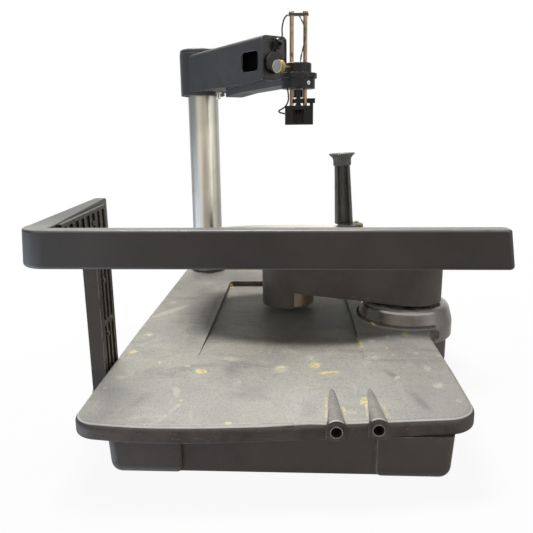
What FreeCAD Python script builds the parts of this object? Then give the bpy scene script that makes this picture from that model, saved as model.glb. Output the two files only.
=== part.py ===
import FreeCAD, Part
import math
import os

V = FreeCAD.Vector
os.makedirs("parts", exist_ok=True)

# ---------------------------------------------------------------------------
# Bench fraction collector: a low housing with a recessed work deck, a powered
# swing arm that carries a turning rack plate, a column with a delivery arm and
# a height-adjustable drop head, and an L-shaped guard bar round the front left.
# Millimetres. X to the right, Y away from the user, Z up, bench at z = 0.
# The drawing frame has x = 0 on the deck's centre plane and y = 0 on the front
# face of the guard bar; ORIGIN moves it to the bottom centre of the whole box.
# ---------------------------------------------------------------------------
ORIGIN = V(6.288, 299.50, 0.0)

# deck and housing
DECK_TOP = 58.0
DECK_T = 15.5
DECK_HALF_W = 180.0
DECK_REAR = 602.0
RECESS_HALF_W = 91.5
RECESS_REAR = 477.0
RECESS_FRONT = 150.0
RECESS_DEPTH = 7.8
TRAY_X0, TRAY_X1 = -153.0, 155.5
TRAY_Y0, TRAY_Y1 = 19.0, 592.0
TRAY_Z0 = 3.5
FOOT_Z0 = 0.6
TRAY_WALL = 3.0
BLOCK_Y = 15.0
BLOCK_L, BLOCK_R = -84.5, 86.5
SPOUT_X = (51.0, 87.3)
SPOUT_FACE = (5.2, 9.8)
SPOUT_R = 9.2
SPOUT_BORE_R = 4.8
SPOUT_Z = 51.6
# shoulder
SH = (166.5, 300.5)
TC = (161.5, 305.5)
TC_R = 62.0
SH_TOP_Z = 80.3
# swing arm
EL = (6.6, 361.5)
ARM_Z0, ARM_Z1 = 83.5, 141.0
ARM_WELL_Z = 128.0
ARM_R_SH, ARM_R_EL = 41.0, 38.0
GEAR_M, GEAR_Z, PINION_Z = 1.25, 52, 12
# carrier
PLATE_Z = 152.7
PLATE_T = 4.0
SEAT_Z = PLATE_Z + 0.8
PLATE_HALF_L, PLATE_HALF_D = 150.0, 117.0
POST = (91.3, 466.0)
# column and delivery arm
COL = (-140.5, 564.5)
COL_R = 25.3
HEAD = (19.5, 358.0)
RING_Z0, RING_Z1, FLANGE_Z1, CAP_Z1 = 354.5, 367.5, 373.8, 386.8
BAR_Z0, BAR_Z1, BAR_TOP = 445.0, 447.9, 450.4
BLOCK_Z0, BLOCK_Z1 = 308.3, 332.6
ARM2_Z0, ARM2_Z1 = 366.0, 424.5
ARM2_HW = 21.5
ARM2_END = 208.0
KNUCKLE_R = 36.6
KNUCKLE_Z0 = 358.4
# guard
G_X0, G_X1 = -201.0, 181.5
G_Z0, G_Z1 = 194.1, 225.8
G_T = 16.0
G_REAR = 165.0

deg = math.radians


# ---------------------------------------------------------------------------
# small helpers
# ---------------------------------------------------------------------------
def box(x0, x1, y0, y1, z0, z1):
    return Part.makeBox(x1 - x0, y1 - y0, z1 - z0, V(x0, y0, z0))


def cyl(x, y, z0, z1, r):
    return Part.makeCylinder(r, z1 - z0, V(x, y, z0), V(0, 0, 1))


def cyld(p, d, length, r):
    return Part.makeCylinder(r, length, V(*p), V(*d))


def tube(x, y, z0, z1, ro, ri):
    return cyl(x, y, z0, z1, ro).cut(cyl(x, y, z0 - 1, z1 + 1, ri))


def prism(pts, z0, z1):
    w = Part.makePolygon([V(x, y, z0) for x, y in pts] + [V(pts[0][0], pts[0][1], z0)])
    return Part.Face(w).extrude(V(0, 0, z1 - z0))


def prism_x(pts, x0, x1):
    """pts are (y, z)"""
    w = Part.makePolygon([V(x0, y, z) for y, z in pts] + [V(x0, pts[0][0], pts[0][1])])
    return Part.Face(w).extrude(V(x1 - x0, 0, 0))


def revolve(pts, x, y):
    """closed profile of (radius, z) turned about the vertical through x, y"""
    w = Part.makePolygon([V(x + r, y, z) for r, z in pts] + [V(x + pts[0][0], y, pts[0][1])])
    return Part.Face(w).revolve(V(x, y, 0), V(0, 0, 1), 360)


def edges_where(s, test):
    out = []
    for e in s.Edges:
        b = e.BoundBox
        if test(b):
            out.append(e)
    return out


def vertical(b):
    return b.XLength < 1e-3 and b.YLength < 1e-3 and b.ZLength > 0.5


def at_z(z):
    return lambda b: b.ZLength < 1e-3 and abs(b.ZMin - z) < 1e-3


def fillet(s, r, test):
    e = edges_where(s, test)
    return s.makeFillet(r, e) if e else s


def rbox(x0, x1, y0, y1, z0, z1, r, rt=0.0, rb=0.0):
    s = box(x0, x1, y0, y1, z0, z1)
    if r:
        s = fillet(s, r, vertical)
    if rt:
        s = fillet(s, rt, at_z(z1))
    if rb:
        s = fillet(s, rb, at_z(z0))
    return s


def fuse(*ss):
    s = ss[0]
    for t in ss[1:]:
        s = s.fuse(t)
    return s.removeSplitter()


def stadium(c0, r0, c1, r1, z0, z1):
    """hull of two circles as a prism"""
    dx, dy = c1[0] - c0[0], c1[1] - c0[1]
    L = math.hypot(dx, dy)
    a = math.atan2(dy, dx)
    b = math.acos((r0 - r1) / L)
    P = lambda c, r, t: V(c[0] + r * math.cos(t), c[1] + r * math.sin(t), z0)
    a0, a1 = a + b, a - b
    e = [
        Part.Arc(P(c0, r0, a0), P(c0, r0, a + math.pi), P(c0, r0, a1)).toShape(),
        Part.LineSegment(P(c0, r0, a1), P(c1, r1, a1)).toShape(),
        Part.Arc(P(c1, r1, a1), P(c1, r1, a), P(c1, r1, a0)).toShape(),
        Part.LineSegment(P(c1, r1, a0), P(c0, r0, a0)).toShape(),
    ]
    return Part.Face(Part.Wire(e)).extrude(V(0, 0, z1 - z0))


def turned(s, x, y, angle):
    s = s.copy()
    s.rotate(V(x, y, 0), V(0, 0, 1), angle)
    return s


def gear(x, y, z0, z1, m, n, bore, phase, backlash=0.16):
    """straight-cut gear with stub involute teeth; phase is the angle of one tooth's middle"""
    pa = deg(25)
    rp, ra, rf = m * n / 2, m * n / 2 + 0.8 * m, m * n / 2 - 1.05 * m
    rb = rp * math.cos(pa)
    inv = lambda t: math.tan(t) - t
    half = math.pi / (2 * n) - backlash / (2 * rp)
    lo = max(rb * 1.0005, rf + 0.05)
    rs = [lo + (ra - lo) * i / 3 for i in range(4)]
    pts = []
    for k in range(n):
        c = phase + 2 * math.pi * k / n
        hs = [half + inv(pa) - inv(math.acos(min(1, rb / r))) for r in rs]
        root = hs[0] + 0.004
        pts.append((rf, c - root))
        pts += [(r, c - h) for r, h in zip(rs, hs)]
        pts += [(r, c + h) for r, h in reversed(list(zip(rs, hs)))]
        pts.append((rf, c + root))
    s = prism([(x + r * math.cos(t), y + r * math.sin(t)) for r, t in pts], z0, z1)
    return s.cut(cyl(x, y, z0 - 1, z1 + 1, bore))


def hexagon(x, y, z0, z1, af, turn=0):
    r = af / math.sqrt(3)
    return prism([(x + r * math.cos(deg(60 * i + turn)), y + r * math.sin(deg(60 * i + turn))) for i in range(6)], z0, z1)


def lead(pts, dia, name):
    """round lead: straight runs joined by tangent arcs"""
    P = [V(*p) for p in pts]
    runs = [(P[i + 1] - P[i]).Length for i in range(len(P) - 1)]
    edges, start = [], P[0]
    worst = 1e9
    for i in range(1, len(P) - 1):
        a = (P[i] - P[i - 1]).normalize()
        b = (P[i + 1] - P[i]).normalize()
        turn = math.acos(max(-1, min(1, a.dot(b))))
        cutback = 0.45 * min(runs[i - 1], runs[i])
        r = cutback / math.tan(turn / 2)
        worst = min(worst, r)
        p0, p1 = P[i] - a * cutback, P[i] + b * cutback
        bis = (b - a).normalize()
        cen = P[i] + bis * (cutback / math.sin(turn / 2)) * 1.0
        cen = P[i] + bis * math.hypot(r, cutback)
        mid = cen - bis * r
        if (p0 - start).Length > 1e-6:
            edges.append(Part.LineSegment(start, p0).toShape())
        edges.append(Part.Arc(p0, mid, p1).toShape())
        start = p1
    edges.append(Part.LineSegment(start, P[-1]).toShape())
    path = Part.Wire(edges)
    d0 = (P[1] - P[0]).normalize()
    prof = Part.Wire([Part.Circle(P[0], d0, dia / 2).toShape()])
    s = path.makePipeShell([prof], True, True)
    vol = math.pi * dia * dia / 4 * path.Length
    print("lead %s: length %.1f, smallest radius %.1f (%.1f dia), volume ratio %.4f" % (name, path.Length, worst, worst / dia, s.Volume / vol))
    return s


NODES = {}


def put(name, *solids):
    out = []
    for s in solids:
        out += s.Solids if s.ShapeType != "Solid" else [s]
    NODES[name] = out


# ---------------------------------------------------------------------------
# deck: slab with an arched front edge, recess, spout fairings, shoulder seat
# ---------------------------------------------------------------------------
def tangent_arc(x0, y0, s0, x1, y1):
    """points of an arc from x0, y0 with slope s0 to x1, y1: end and middle"""
    t = V(1, s0, 0).normalize()
    n = V(-t.y, t.x, 0)
    d = V(x1 - x0, y1 - y0, 0)
    r = d.Length ** 2 / (2 * d.dot(n))
    c = V(x0, y0, 0) + n * r
    a0 = V(x0, y0, 0) - c
    a1 = V(x1, y1, 0) - c
    m = (a0 + a1).normalize() * abs(r)
    return c + m


def deck_outline(z, inset=0.0):
    zf = lambda p: V(p.x, p.y, z)
    i = inset
    a = V(-DECK_HALF_W - 0.3 + i, 5.08 + i, 0)
    w = V(-DECK_HALF_W - 3.2 + i, 236.0, 0)
    b = V(-100, -3.0 + i, 0)
    c = V(-40, -0.3 + i, 0)
    e = V(DECK_HALF_W - 2.6 - i, 22.4 + i, 0)
    e2 = V(DECK_HALF_W - i, 128.0, 0)
    # the right edge flares out to meet the shoulder's seat
    dx = DECK_HALF_W + FLARE_R - TC[0]
    cy = TC[1] - math.sqrt((TC_R + 0.4 + FLARE_R) ** 2 - dx ** 2)
    fc = V(DECK_HALF_W + FLARE_R, cy, 0)
    t1 = V(DECK_HALF_W, cy, 0)
    t2 = fc + (V(TC[0], TC[1], 0) - fc).normalize() * FLARE_R
    tm = fc + ((t1 - fc).normalize() + (t2 - fc).normalize()).normalize() * FLARE_R
    e3 = V(DECK_HALF_W - i, 268.0, 0)
    f = V(DECK_HALF_W - i, DECK_REAR - i, 0)
    g = V(-DECK_HALF_W - 2.4 + i, DECK_REAR - i, 0)
    m1 = V(-140, -0.995 + i, 0)
    m2 = tangent_arc(b.x, b.y, 0.0, c.x, c.y)
    m3 = tangent_arc(c.x, c.y, 0.09, e.x, e.y)
    return Part.Wire([
        Part.Arc(zf(a), zf(m1), zf(b)).toShape(),
        Part.Arc(zf(b), zf(m2), zf(c)).toShape(),
        Part.Arc(zf(c), zf(m3), zf(e)).toShape(),
        Part.LineSegment(zf(e), zf(e2)).toShape(),
        Part.LineSegment(zf(e2), zf(t1)).toShape(),
        Part.Arc(zf(t1), zf(tm), zf(t2)).toShape(),
        Part.LineSegment(zf(t2), zf(e3)).toShape(),
        Part.LineSegment(zf(e3), zf(f)).toShape(),
        Part.LineSegment(zf(f), zf(g)).toShape(),
        Part.LineSegment(zf(g), zf(w)).toShape(),
        Part.LineSegment(zf(w), zf(a)).toShape(),
    ])


slab_z0 = DECK_TOP - DECK_T
FLARE_R = 40.0
slab = Part.Face(deck_outline(slab_z0)).extrude(V(0, 0, DECK_T))
slab = fillet(slab, 25.0, lambda b: vertical(b) and b.XMin < -170 and b.YMin < 30)
slab = fillet(slab, 31.0, lambda b: vertical(b) and b.XMin > 170 and b.YMin < 30)
slab = fillet(slab, 20.0, lambda b: vertical(b) and abs(b.XMin) > 170 and b.YMin > 500)
slab = fillet(slab, 6.0, at_z(DECK_TOP))
slab = fillet(slab, 1.5, at_z(slab_z0))
hollow = rbox(-DECK_HALF_W + 7, DECK_HALF_W - 9, 34, DECK_REAR - 8, slab_z0 - 1, slab_z0 + 4.2, 24)
slab = slab.cut(hollow)
wedge = prism_x([(RECESS_FRONT, DECK_TOP + 0.02), (RECESS_FRONT + 105.0, DECK_TOP - 5.6), (RECESS_REAR, DECK_TOP - RECESS_DEPTH), (RECESS_REAR, DECK_TOP + 5), (RECESS_FRONT, DECK_TOP + 5)], -RECESS_HALF_W, RECESS_HALF_W)
wedge = fillet(wedge, 9.0, lambda b: vertical(b) and abs(b.YMin - RECESS_REAR) < 0.01)
slab = slab.cut(wedge)
# seat cut for the shoulder housing
slab = slab.cut(cyl(TC[0], TC[1], slab_z0 - 5, DECK_TOP + 9, TC_R + 0.4))
# a low coved collar round the seat
cove = [(TC_R + 0.4, DECK_TOP - 3), (TC_R + 0.4, DECK_TOP + 4.6), (TC_R + 0.9, DECK_TOP + 4.6), (TC_R + 1.1, DECK_TOP + 3.0), (TC_R + 1.8, DECK_TOP + 1.5), (TC_R + 3.0, DECK_TOP + 0.5), (TC_R + 4.8, DECK_TOP - 0.02), (TC_R + 4.8, DECK_TOP - 3)]
cove = revolve(cove, *TC).common(box(60, 191.0, 200, 420, 50, 70))
cove = cove.common(Part.Face(deck_outline(50.0)).extrude(V(0, 0, 30)))
slab = slab.fuse(cove)
# fairings that carry the two drain outlets
for sx, fy in zip(SPOUT_X, SPOUT_FACE):
    zc = DECK_TOP + 4.3 - SPOUT_R


    def girth(y):
        return SPOUT_R - 2.2 * (y - fy) / (80.0 - fy)


    def centre(y):
        return V(sx, y, DECK_TOP + 4.3 * (80.0 - y) / (80.0 - fy) - girth(y))


    ax = centre(88.0) - centre(fy - 4.0)
    cone = Part.makeCone(girth(fy - 4.0), girth(88.0), ax.Length, centre(fy - 4.0), ax)
    lower = box(sx - SPOUT_R, sx + SPOUT_R, fy, fy + 34, slab_z0, zc)
    lower = fillet(lower, 3.0, lambda b: b.YLength > 30 and at_z(slab_z0)(b))
    keep = fuse(Part.makeCylinder(SPOUT_R + 0.15, 90 - fy, V(sx, fy, zc), V(0, 1, 0)), box(sx - SPOUT_R - 0.15, sx + SPOUT_R + 0.15, fy, 90, slab_z0 - 1, zc)).removeSplitter()
    keep = fillet(keep, 1.4, lambda b: b.YMax < fy + 0.01 and b.ZMax > slab_z0 + 1)
    keep = keep.common(box(sx - 12, sx + 12, fy - 1, 90, slab_z0, DECK_TOP + 12))
    full = fuse(cone, lower).common(keep)
    full = full.cut(box(sx - 30, sx + 30, 34 + fy, 95, 0, slab_z0 + 4.2)).removeSplitter()
    slab = slab.fuse(full)
slab = slab.removeSplitter()
for sx, fy in zip(SPOUT_X, SPOUT_FACE):
    slab = slab.cut(cyld((sx, fy - 5, SPOUT_Z), (0, 1, 0), 33, 5.62))
# column hole and screw holes
slab = slab.cut(cyl(COL[0], COL[1], slab_z0 - 2, DECK_TOP + 2, COL_R + 0.2))
COL_SCREWS = [(COL[0] + 32 * math.cos(deg(a)), COL[1] + 32 * math.sin(deg(a))) for a in (45, 135, 225, 315)]
put("deck", slab)

ferr = []
for sx, fy in zip(SPOUT_X, SPOUT_FACE):
    f = cyld((sx, fy - 0.9, SPOUT_Z), (0, 1, 0), 26, 5.6).cut(cyld((sx, fy - 3, SPOUT_Z), (0, 1, 0), 40, SPOUT_BORE_R))
    ferr.append(f)
put("drain_ferrules", *ferr)

# ---------------------------------------------------------------------------
# housing under the deck
# ---------------------------------------------------------------------------
TOP = slab_z0 - 0.0
outer = rbox(TRAY_X0 + 1.5, TRAY_X1 - 1.5, TRAY_Y0, TRAY_Y1, TRAY_Z0 - 1.0, TOP, 13.0, 0, 1.6)
blocks = []
for x0, x1, y0, y1 in ((TRAY_X0, BLOCK_L, BLOCK_Y, 92), (BLOCK_R, TRAY_X1, BLOCK_Y, 92), (TRAY_X0, BLOCK_L, 520, TRAY_Y1 + 3), (BLOCK_R, TRAY_X1, 520, TRAY_Y1 + 3)):
    # drafted outer side with a soft lower corner
    xo, xi = (x0, x1) if x0 < 0 else (x1, x0)
    sg = -1 if x0 < 0 else 1
    yo = y0 if y0 < 100 else y1
    w = Part.makePolygon([V(xi, y0, FOOT_Z0), V(xo - sg * 2.6, y0, FOOT_Z0), V(xo, y0, TOP), V(xi, y0, TOP), V(xi, y0, FOOT_Z0)])
    b = Part.Face(w).extrude(V(0, y1 - y0, 0))
    b = fillet(b, 11.0, lambda bb: bb.XLength < 1e-3 and bb.ZLength < 1e-3 and abs(bb.ZMin - FOOT_Z0) < 1e-3 and abs(bb.XMin - (xo - sg * 2.6)) < 0.01)
    b = fillet(b, 2.0, lambda bb: vertical(bb) and abs(bb.XMin - xi) < 0.01 and abs(bb.YMin - yo) < 0.01)
    b = fillet(b, 9.0, lambda bb: bb.YLength < 1e-3 and abs(bb.YMin - yo) < 1e-3 and abs((bb.XMin + bb.XMax) / 2 - xo) < 3 and bb.ZLength > 15)
    blocks.append(b)
bulge = cyl(SH[0], SH[1], 2.0, 38.0, 50.0)
bulge = fillet(bulge, 4.0, at_z(2.0))
outer = fuse(outer, bulge, *blocks)
inner = rbox(TRAY_X0 + TRAY_WALL, TRAY_X1 - TRAY_WALL, TRAY_Y0 + TRAY_WALL, TRAY_Y1 - TRAY_WALL, 8.0, TOP + 1, 10.0)
inner = inner.fuse(cyl(SH[0], SH[1], 8.0, 60, 47.0))
tray = outer.cut(inner)
# room for the shoulder housing's skirt
tray = tray.cut(cyl(TC[0], TC[1], 37.5, TOP + 5, TC_R + 0.6))
# seats for the rubber feet
FEET = [(-128, 48), (124, 48), (-128, 562), (124, 562)]
for fx, fy in FEET:
    tray = tray.cut(cyl(fx, fy, 0, 3.6, 13.3))
# rear cut-outs: inlet and two signal sockets
INLET = (-52.0, 26.0)
tray = tray.cut(box(INLET[0] - 14.2, INLET[0] + 14.2, TRAY_Y1 - 8, TRAY_Y1 + 8, INLET[1] - 10.2, INLET[1] + 10.2))
SWX = -18.0
tray = tray.cut(box(SWX - 6.7, SWX + 6.7, TRAY_Y1 - 8, TRAY_Y1 + 8, 26 - 10.2, 26 + 10.2))
SOCK = (24.0, 60.0)
for sx in SOCK:
    tray = tray.cut(box(sx - 12.2, sx + 12.2, TRAY_Y1 - 8, TRAY_Y1 + 8, 26 - 6.2, 26 + 6.2))
tray = tray.removeSplitter()
put("base_tray", tray)

put("rubber_feet", *[fillet(cyl(fx, fy, 0.0, 3.6, 13.0), 0.4, at_z(0.0)) for fx, fy in FEET])

# screws that hold the housing to the deck from below, in bosses of their own
bs, bosses = [], []
for x, y in ((-140, 130), (-140, 300), (-140, 480), (60, 575), (140, 130), (140, 480)):
    bs.append(fuse(cyl(x, y, 1.6, 4.4, 3.6), cyl(x, y, 4.4, 46.4, 1.9)))
tray = NODES["base_tray"][0]
for x, y in ((-140, 130), (-140, 300), (-140, 480), (60, 575), (140, 130), (140, 480)):
    tray = tray.fuse(cyl(x, y, 7.5, slab_z0 + 3.9, 4.6))
for x, y in ((-140, 130), (-140, 300), (-140, 480), (60, 575), (140, 130), (140, 480)):
    tray = tray.cut(cyl(x, y, 0, 4.4, 3.9)).cut(cyl(x, y, 0, 60, 1.95))
put("base_tray", tray.removeSplitter())
put("base_screws", *bs)

# rear connectors -----------------------------------------------------------
y1 = TRAY_Y1
inl = box(INLET[0] - 14, INLET[0] + 14, y1 - 20, y1, INLET[1] - 10, INLET[1] + 10)
inl = inl.fuse(rbox(INLET[0] - 25, INLET[0] + 25, y1, y1 + 2.2, INLET[1] - 12, INLET[1] + 12, 0))
cav = rbox(INLET[0] - 11.5, INLET[0] + 11.5, y1 - 16, y1 + 5, INLET[1] - 7.8, INLET[1] + 7.8, 0)
inl = inl.cut(cav)
pins = [box(INLET[0] + dx - 1, INLET[0] + dx + 1, y1 - 17, y1 - 2, INLET[1] + dz - 2, INLET[1] + dz + 2) for dx, dz in ((-7, -2), (0, 3), (7, -2))]
inl = fuse(inl, *pins)
swf = box(SWX - 6.5, SWX + 6.5, y1 - 16, y1, 26 - 10, 26 + 10)
swf = swf.fuse(box(SWX - 8.5, SWX + 8.5, y1, y1 + 2, 26 - 12, 26 + 12))
swf = swf.cut(box(SWX - 5.2, SWX + 5.2, y1 - 13, y1 + 5, 26 - 8.9, 26 + 8.9))
put("power_inlet", inl.fuse(swf).fuse(box(INLET[0] + 24, SWX - 8, y1, y1 + 2.0, 26 - 12, 26 + 12)).removeSplitter())
rock = prism_x([(y1 + 3.9, 26 + 7.6), (y1 + 2.2, 26.0), (y1 + 2.4, 26 - 7.6), (y1 - 4.0, 26 - 7.2), (y1 - 7.5, 26.0), (y1 - 4.0, 26 + 7.2)], SWX - 4.8, SWX + 4.8)
put("power_rocker", rock)
socks = []
for sx in SOCK:
    s = box(sx - 12, sx + 12, y1 - 9, y1, 26 - 6, 26 + 6).fuse(box(sx - 15.5, sx + 15.5, y1, y1 + 1.2, 26 - 6.4, 26 + 6.4))
    s = s.fuse(rbox(sx - 9, sx + 9, y1, y1 + 6, 26 - 4.2, 26 + 4.2, 0))
    s = s.cut(box(sx - 8, sx + 8, y1 - 4, y1 + 8, 26 - 3.3, 26 + 3.3))
    socks.append(s.removeSplitter())
put("signal_sockets", *socks)

# electronics ---------------------------------------------------------------
pcb = box(-60, 60, 300, 470, 14, 15.6)
chips = [box(-40, -16, 330, 354, 15.6, 19), box(10, 34, 320, 334, 15.6, 18.4), box(-46, -22, 390, 404, 15.6, 18.4), box(6, 46, 400, 440, 15.6, 22), box(-30, -6, 430, 456, 15.6, 21)]
posts_ = [cyl(x, y, 8, 14, 3.2) for x, y in ((-54, 306), (54, 306), (-54, 464), (54, 464))]
put("control_board", fuse(pcb, *chips, *posts_))
psu = rbox(-98, -38, 476, 554, 8, 40, 2)
put("power_supply", psu)

# ---------------------------------------------------------------------------
# shoulder: housing, bearing tube, bearings, motor
# ---------------------------------------------------------------------------
prof = [
    (TC_R - 3.0, 38.0), (TC_R - 0.6, 38.0), (TC_R, 38.8), (TC_R, 56.0), (TC_R - 0.6, 60.0), (TC_R - 4.2, 73.0), (TC_R - 5.0, 75.4), (TC_R - 6.4, 77.6),
    (TC_R - 8.4, 79.2), (TC_R - 11.4, SH_TOP_Z), (0.0, SH_TOP_Z), (0.0, 76.4), (TC_R - 12.0, 76.4), (TC_R - 7.4, 73.0), (TC_R - 3.6, 57.0), (TC_R - 3.0, 54.0)]
put("shoulder_housing", revolve(prof, *TC).cut(cyl(SH[0], SH[1], 70, 90, 12.0)))
bt = tube(SH[0], SH[1], 8.0, 62.0, 18.5, 16.0).fuse(tube(SH[0], SH[1], 8.0, 12.5, 34.0, 9.5))
bt = bt.cut(cyl(SH[0], SH[1], 12.5, 63, 16.0))
bt = bt.fuse(tube(SH[0], SH[1], 30, 44, 18.5, 10.0))
# one side stays clear of the motor
bt = bt.cut(cyl(SH[0] - 40, SH[1], 0, 80, 19.2))
put("bearing_tube", bt.removeSplitter())
put("shoulder_bearings", tube(SH[0], SH[1], 14, 30, 16.0, 7.5), tube(SH[0], SH[1], 44, 61, 16.0, 7.5))
mx = SH[0] - 40.0
mot = fuse(cyl(mx, SH[1], 8, 36, 18.5), cyl(mx, SH[1], 36, 60, 11.0))
mot = mot.cut(cyl(mx, SH[1], 30, 62, 2.56))
put("shoulder_motor", mot)
pin = gear(mx, SH[1], 64.0, 72.0, GEAR_M, PINION_Z, 0.5, math.pi / PINION_Z)
pin = pin.fuse(cyl(mx, SH[1], 34, 74, 2.5)).removeSplitter()
put("shoulder_pinion", pin)

# ---------------------------------------------------------------------------
# swing arm
# ---------------------------------------------------------------------------
spin = fuse(cyl(SH[0], SH[1], 10.5, 88.0, 7.46), cyl(SH[0], SH[1], 88.0, 92.0, 24.0))
put("shoulder_spindle", spin)
put("shoulder_gear", gear(SH[0], SH[1], 64.0, 72.0, GEAR_M, GEAR_Z, 7.46, math.pi))
base = stadium(EL, ARM_R_EL, SH, ARM_R_SH, ARM_Z0, ARM_Z0 + 4.5)
base = fillet(base, 0.4, at_z(ARM_Z0))
base = base.cut(cyl(SH[0], SH[1], 80, 90, 7.46)).cut(cyl(EL[0], EL[1], 80, 90, 12.0))
put("arm_base", base)
cov = stadium(EL, ARM_R_EL, SH, ARM_R_SH, ARM_Z0 + 4.5, ARM_Z1)
cov = fillet(cov, 7.0, at_z(ARM_Z1))
cav = stadium(EL, ARM_R_EL - 3, SH, ARM_R_SH - 3, ARM_Z0 + 3.0, ARM_Z1 - 3)
cav = fillet(cav, 4.0, at_z(ARM_Z1 - 3))
cov = cov.cut(cav)
cov = cov.fuse(cyl(EL[0], EL[1], 112, ARM_Z1 - 1, 22.0)).cut(cyl(EL[0], EL[1], ARM_WELL_Z, ARM_Z1 + 1, 19.0)).cut(tube(EL[0], EL[1], 111, 124, 30.0, 17.5).common(cyl(EL[0], EL[1], 111, 124, 22.5)))
cov = cov.cut(cyl(EL[0], EL[1], 100, 124, 14.0)).cut(cyl(EL[0], EL[1], 90, 140, 8.0))
put("arm_cover", cov.removeSplitter())
asc = []
ux, uy = (SH[0] - EL[0]), (SH[1] - EL[1])
ul = math.hypot(ux, uy)
ux, uy = ux / ul, uy / ul
for s, t in ((52, 20), (52, -20), (118, 22), (118, -22)):
    x, y = EL[0] + ux * s - uy * t, EL[1] + uy * s + ux * t
    asc.append(fuse(cyl(x, y, 81.6, 83.5, 3.0), cyl(x, y, 83.5, 97, 1.5)))
    NODES["arm_base"][0] = NODES["arm_base"][0].cut(cyl(x, y, 80, 92, 1.5))
    c = NODES["arm_cover"][0].fuse(cyl(x, y, 88.0, ARM_Z1 - 2.0, 4.0)).cut(cyl(x, y, 85, 97, 1.5))
    NODES["arm_cover"][0] = c.removeSplitter()
put("arm_screws", *asc)
# elbow: metal motor can inside a cut-away skirt
skirt = tube(EL[0], EL[1], 59.6, ARM_Z0, ARM_R_EL, ARM_R_EL - 1.6)
a0, a1 = deg(-90 + 12), deg(-90 + 126)
R = 60
skirt = skirt.cut(prism([(EL[0], EL[1])] + [(EL[0] + R * math.cos(a0 + (a1 - a0) * i / 8), EL[1] + R * math.sin(a0 + (a1 - a0) * i / 8)) for i in range(9)], 50, ARM_Z0 + 1))
put("elbow_skirt", skirt)
can = fuse(cyl(EL[0], EL[1], 60.2, 81.2, 36.0), cyl(EL[0], EL[1], 81.2, ARM_Z0, 34.0), cyl(EL[0], EL[1], ARM_Z0, 96.0, 12.0))
can = fillet(can, 1.5, lambda b: at_z(60.2)(b))
can = can.cut(cyl(EL[0], EL[1], 66, 100, 6.04))
put("elbow_motor", can)
put("elbow_bearing", tube(EL[0], EL[1], 114, 124, 14.0, 6.04))

# ---------------------------------------------------------------------------
# rack carrier
# ---------------------------------------------------------------------------
put("carrier_shaft", fuse(cyl(EL[0], EL[1], 68, 148.5, 6.0), cyl(EL[0], EL[1], 126.8, 129.0, 7.5)))
hub = fuse(cyl(EL[0], EL[1], 129.5, 144.7, 16.0), cyl(EL[0], EL[1], 144.7, PLATE_Z - PLATE_T, 46.0))
hub = hub.cut(cyl(EL[0], EL[1], 128, 150, 6.0))
hub = hub.fuse(cyl(EL[0], EL[1], 148.5, PLATE_Z - PLATE_T, 7.0)).removeSplitter()
put("carrier_hub", hub)


def plate_outline(z):
    P = lambda x, y: V(EL[0] + x, EL[1] + y, z)
    Rl, Rs = 262.0, 200.0
    # corner where the long and the short arcs meet
    x = PLATE_HALF_L
    for _ in range(60):
        y = PLATE_HALF_D - (Rl - math.sqrt(Rl * Rl - x * x))
        x = PLATE_HALF_L - (Rs - math.sqrt(Rs * Rs - y * y))
    y = PLATE_HALF_D - (Rl - math.sqrt(Rl * Rl - x * x))
    return Part.Wire([
        Part.Arc(P(-x, -y), P(0, -PLATE_HALF_D), P(x, -y)).toShape(),
        Part.Arc(P(x, -y), P(PLATE_HALF_L, 0), P(x, y)).toShape(),
        Part.Arc(P(x, y), P(0, PLATE_HALF_D), P(-x, y)).toShape(),
        Part.Arc(P(-x, y), P(-PLATE_HALF_L, 0), P(-x, -y)).toShape(),
    ])


plate = Part.Face(plate_outline(PLATE_Z - PLATE_T)).extrude(V(0, 0, PLATE_T))
plate = fillet(plate, 26.0, vertical)
ear = rbox(POST[0] - 12, POST[0] + 31, POST[1] - 50, POST[1] + 11, PLATE_Z - PLATE_T, PLATE_Z, 8)
# a raised seat for the rack, clear of the post's foot
seat = rbox(EL[0] - 118, EL[0] + 118, EL[1] - 80, EL[1] + 70, PLATE_Z, SEAT_Z, 14)
plate = fuse(plate, ear, seat)
CS = [(EL[0] + 34 * math.cos(deg(a)), EL[1] + 34 * math.sin(deg(a))) for a in (30, 120, 210, 300)]
RK = [(EL[0] + sx * 90, EL[1] + sy * 50) for sx in (-1, 1) for sy in (-1, 1)]
for x, y in CS:
    plate = plate.cut(Part.makeCone(2.1, 4.3, 2.2, V(x, y, PLATE_Z - 2.2), V(0, 0, 1))).cut(cyl(x, y, 140, 160, 2.1))
    plate = plate.cut(cyl(x, y, PLATE_Z, SEAT_Z + 1, 4.3))
    NODES["carrier_hub"][0] = NODES["carrier_hub"][0].cut(cyl(x, y, 140, 150, 1.65))
for x, y in RK:
    plate = plate.cut(cyl(x, y, 140, 160, 3.0))
cs = []
for x, y in CS:
    cs.append(fuse(Part.makeCone(1.9, 4.0, 2.1, V(x, y, PLATE_Z - 2.15), V(0, 0, 1)), cyl(x, y, 145.2, PLATE_Z - 2.1, 1.65)))
put("carrier_screws", *cs)
# handle post on a round foot, with a flared cap
fx, fy = 102.5, POST[1] - 3
foot = fillet(cyl(fx, fy, PLATE_Z, PLATE_Z + 4.4, 20.0), 1.2, at_z(PLATE_Z + 4.4))
PSC = [(fx + 11, fy - 11), (fx + 11, fy + 11)]
for x, y in PSC:
    foot = foot.cut(cyl(x, y, 140, 170, 1.7))
    plate = plate.cut(cyl(x, y, 140, 170, 1.7))
put("carrier_plate", plate)
put("post_foot", foot)
put("post_screws", *[fuse(cyl(x, y, 145.5, PLATE_Z + 4.4, 1.65), cyl(x, y, PLATE_Z + 4.4, PLATE_Z + 6.2, 3.1)) for x, y in PSC])


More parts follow.
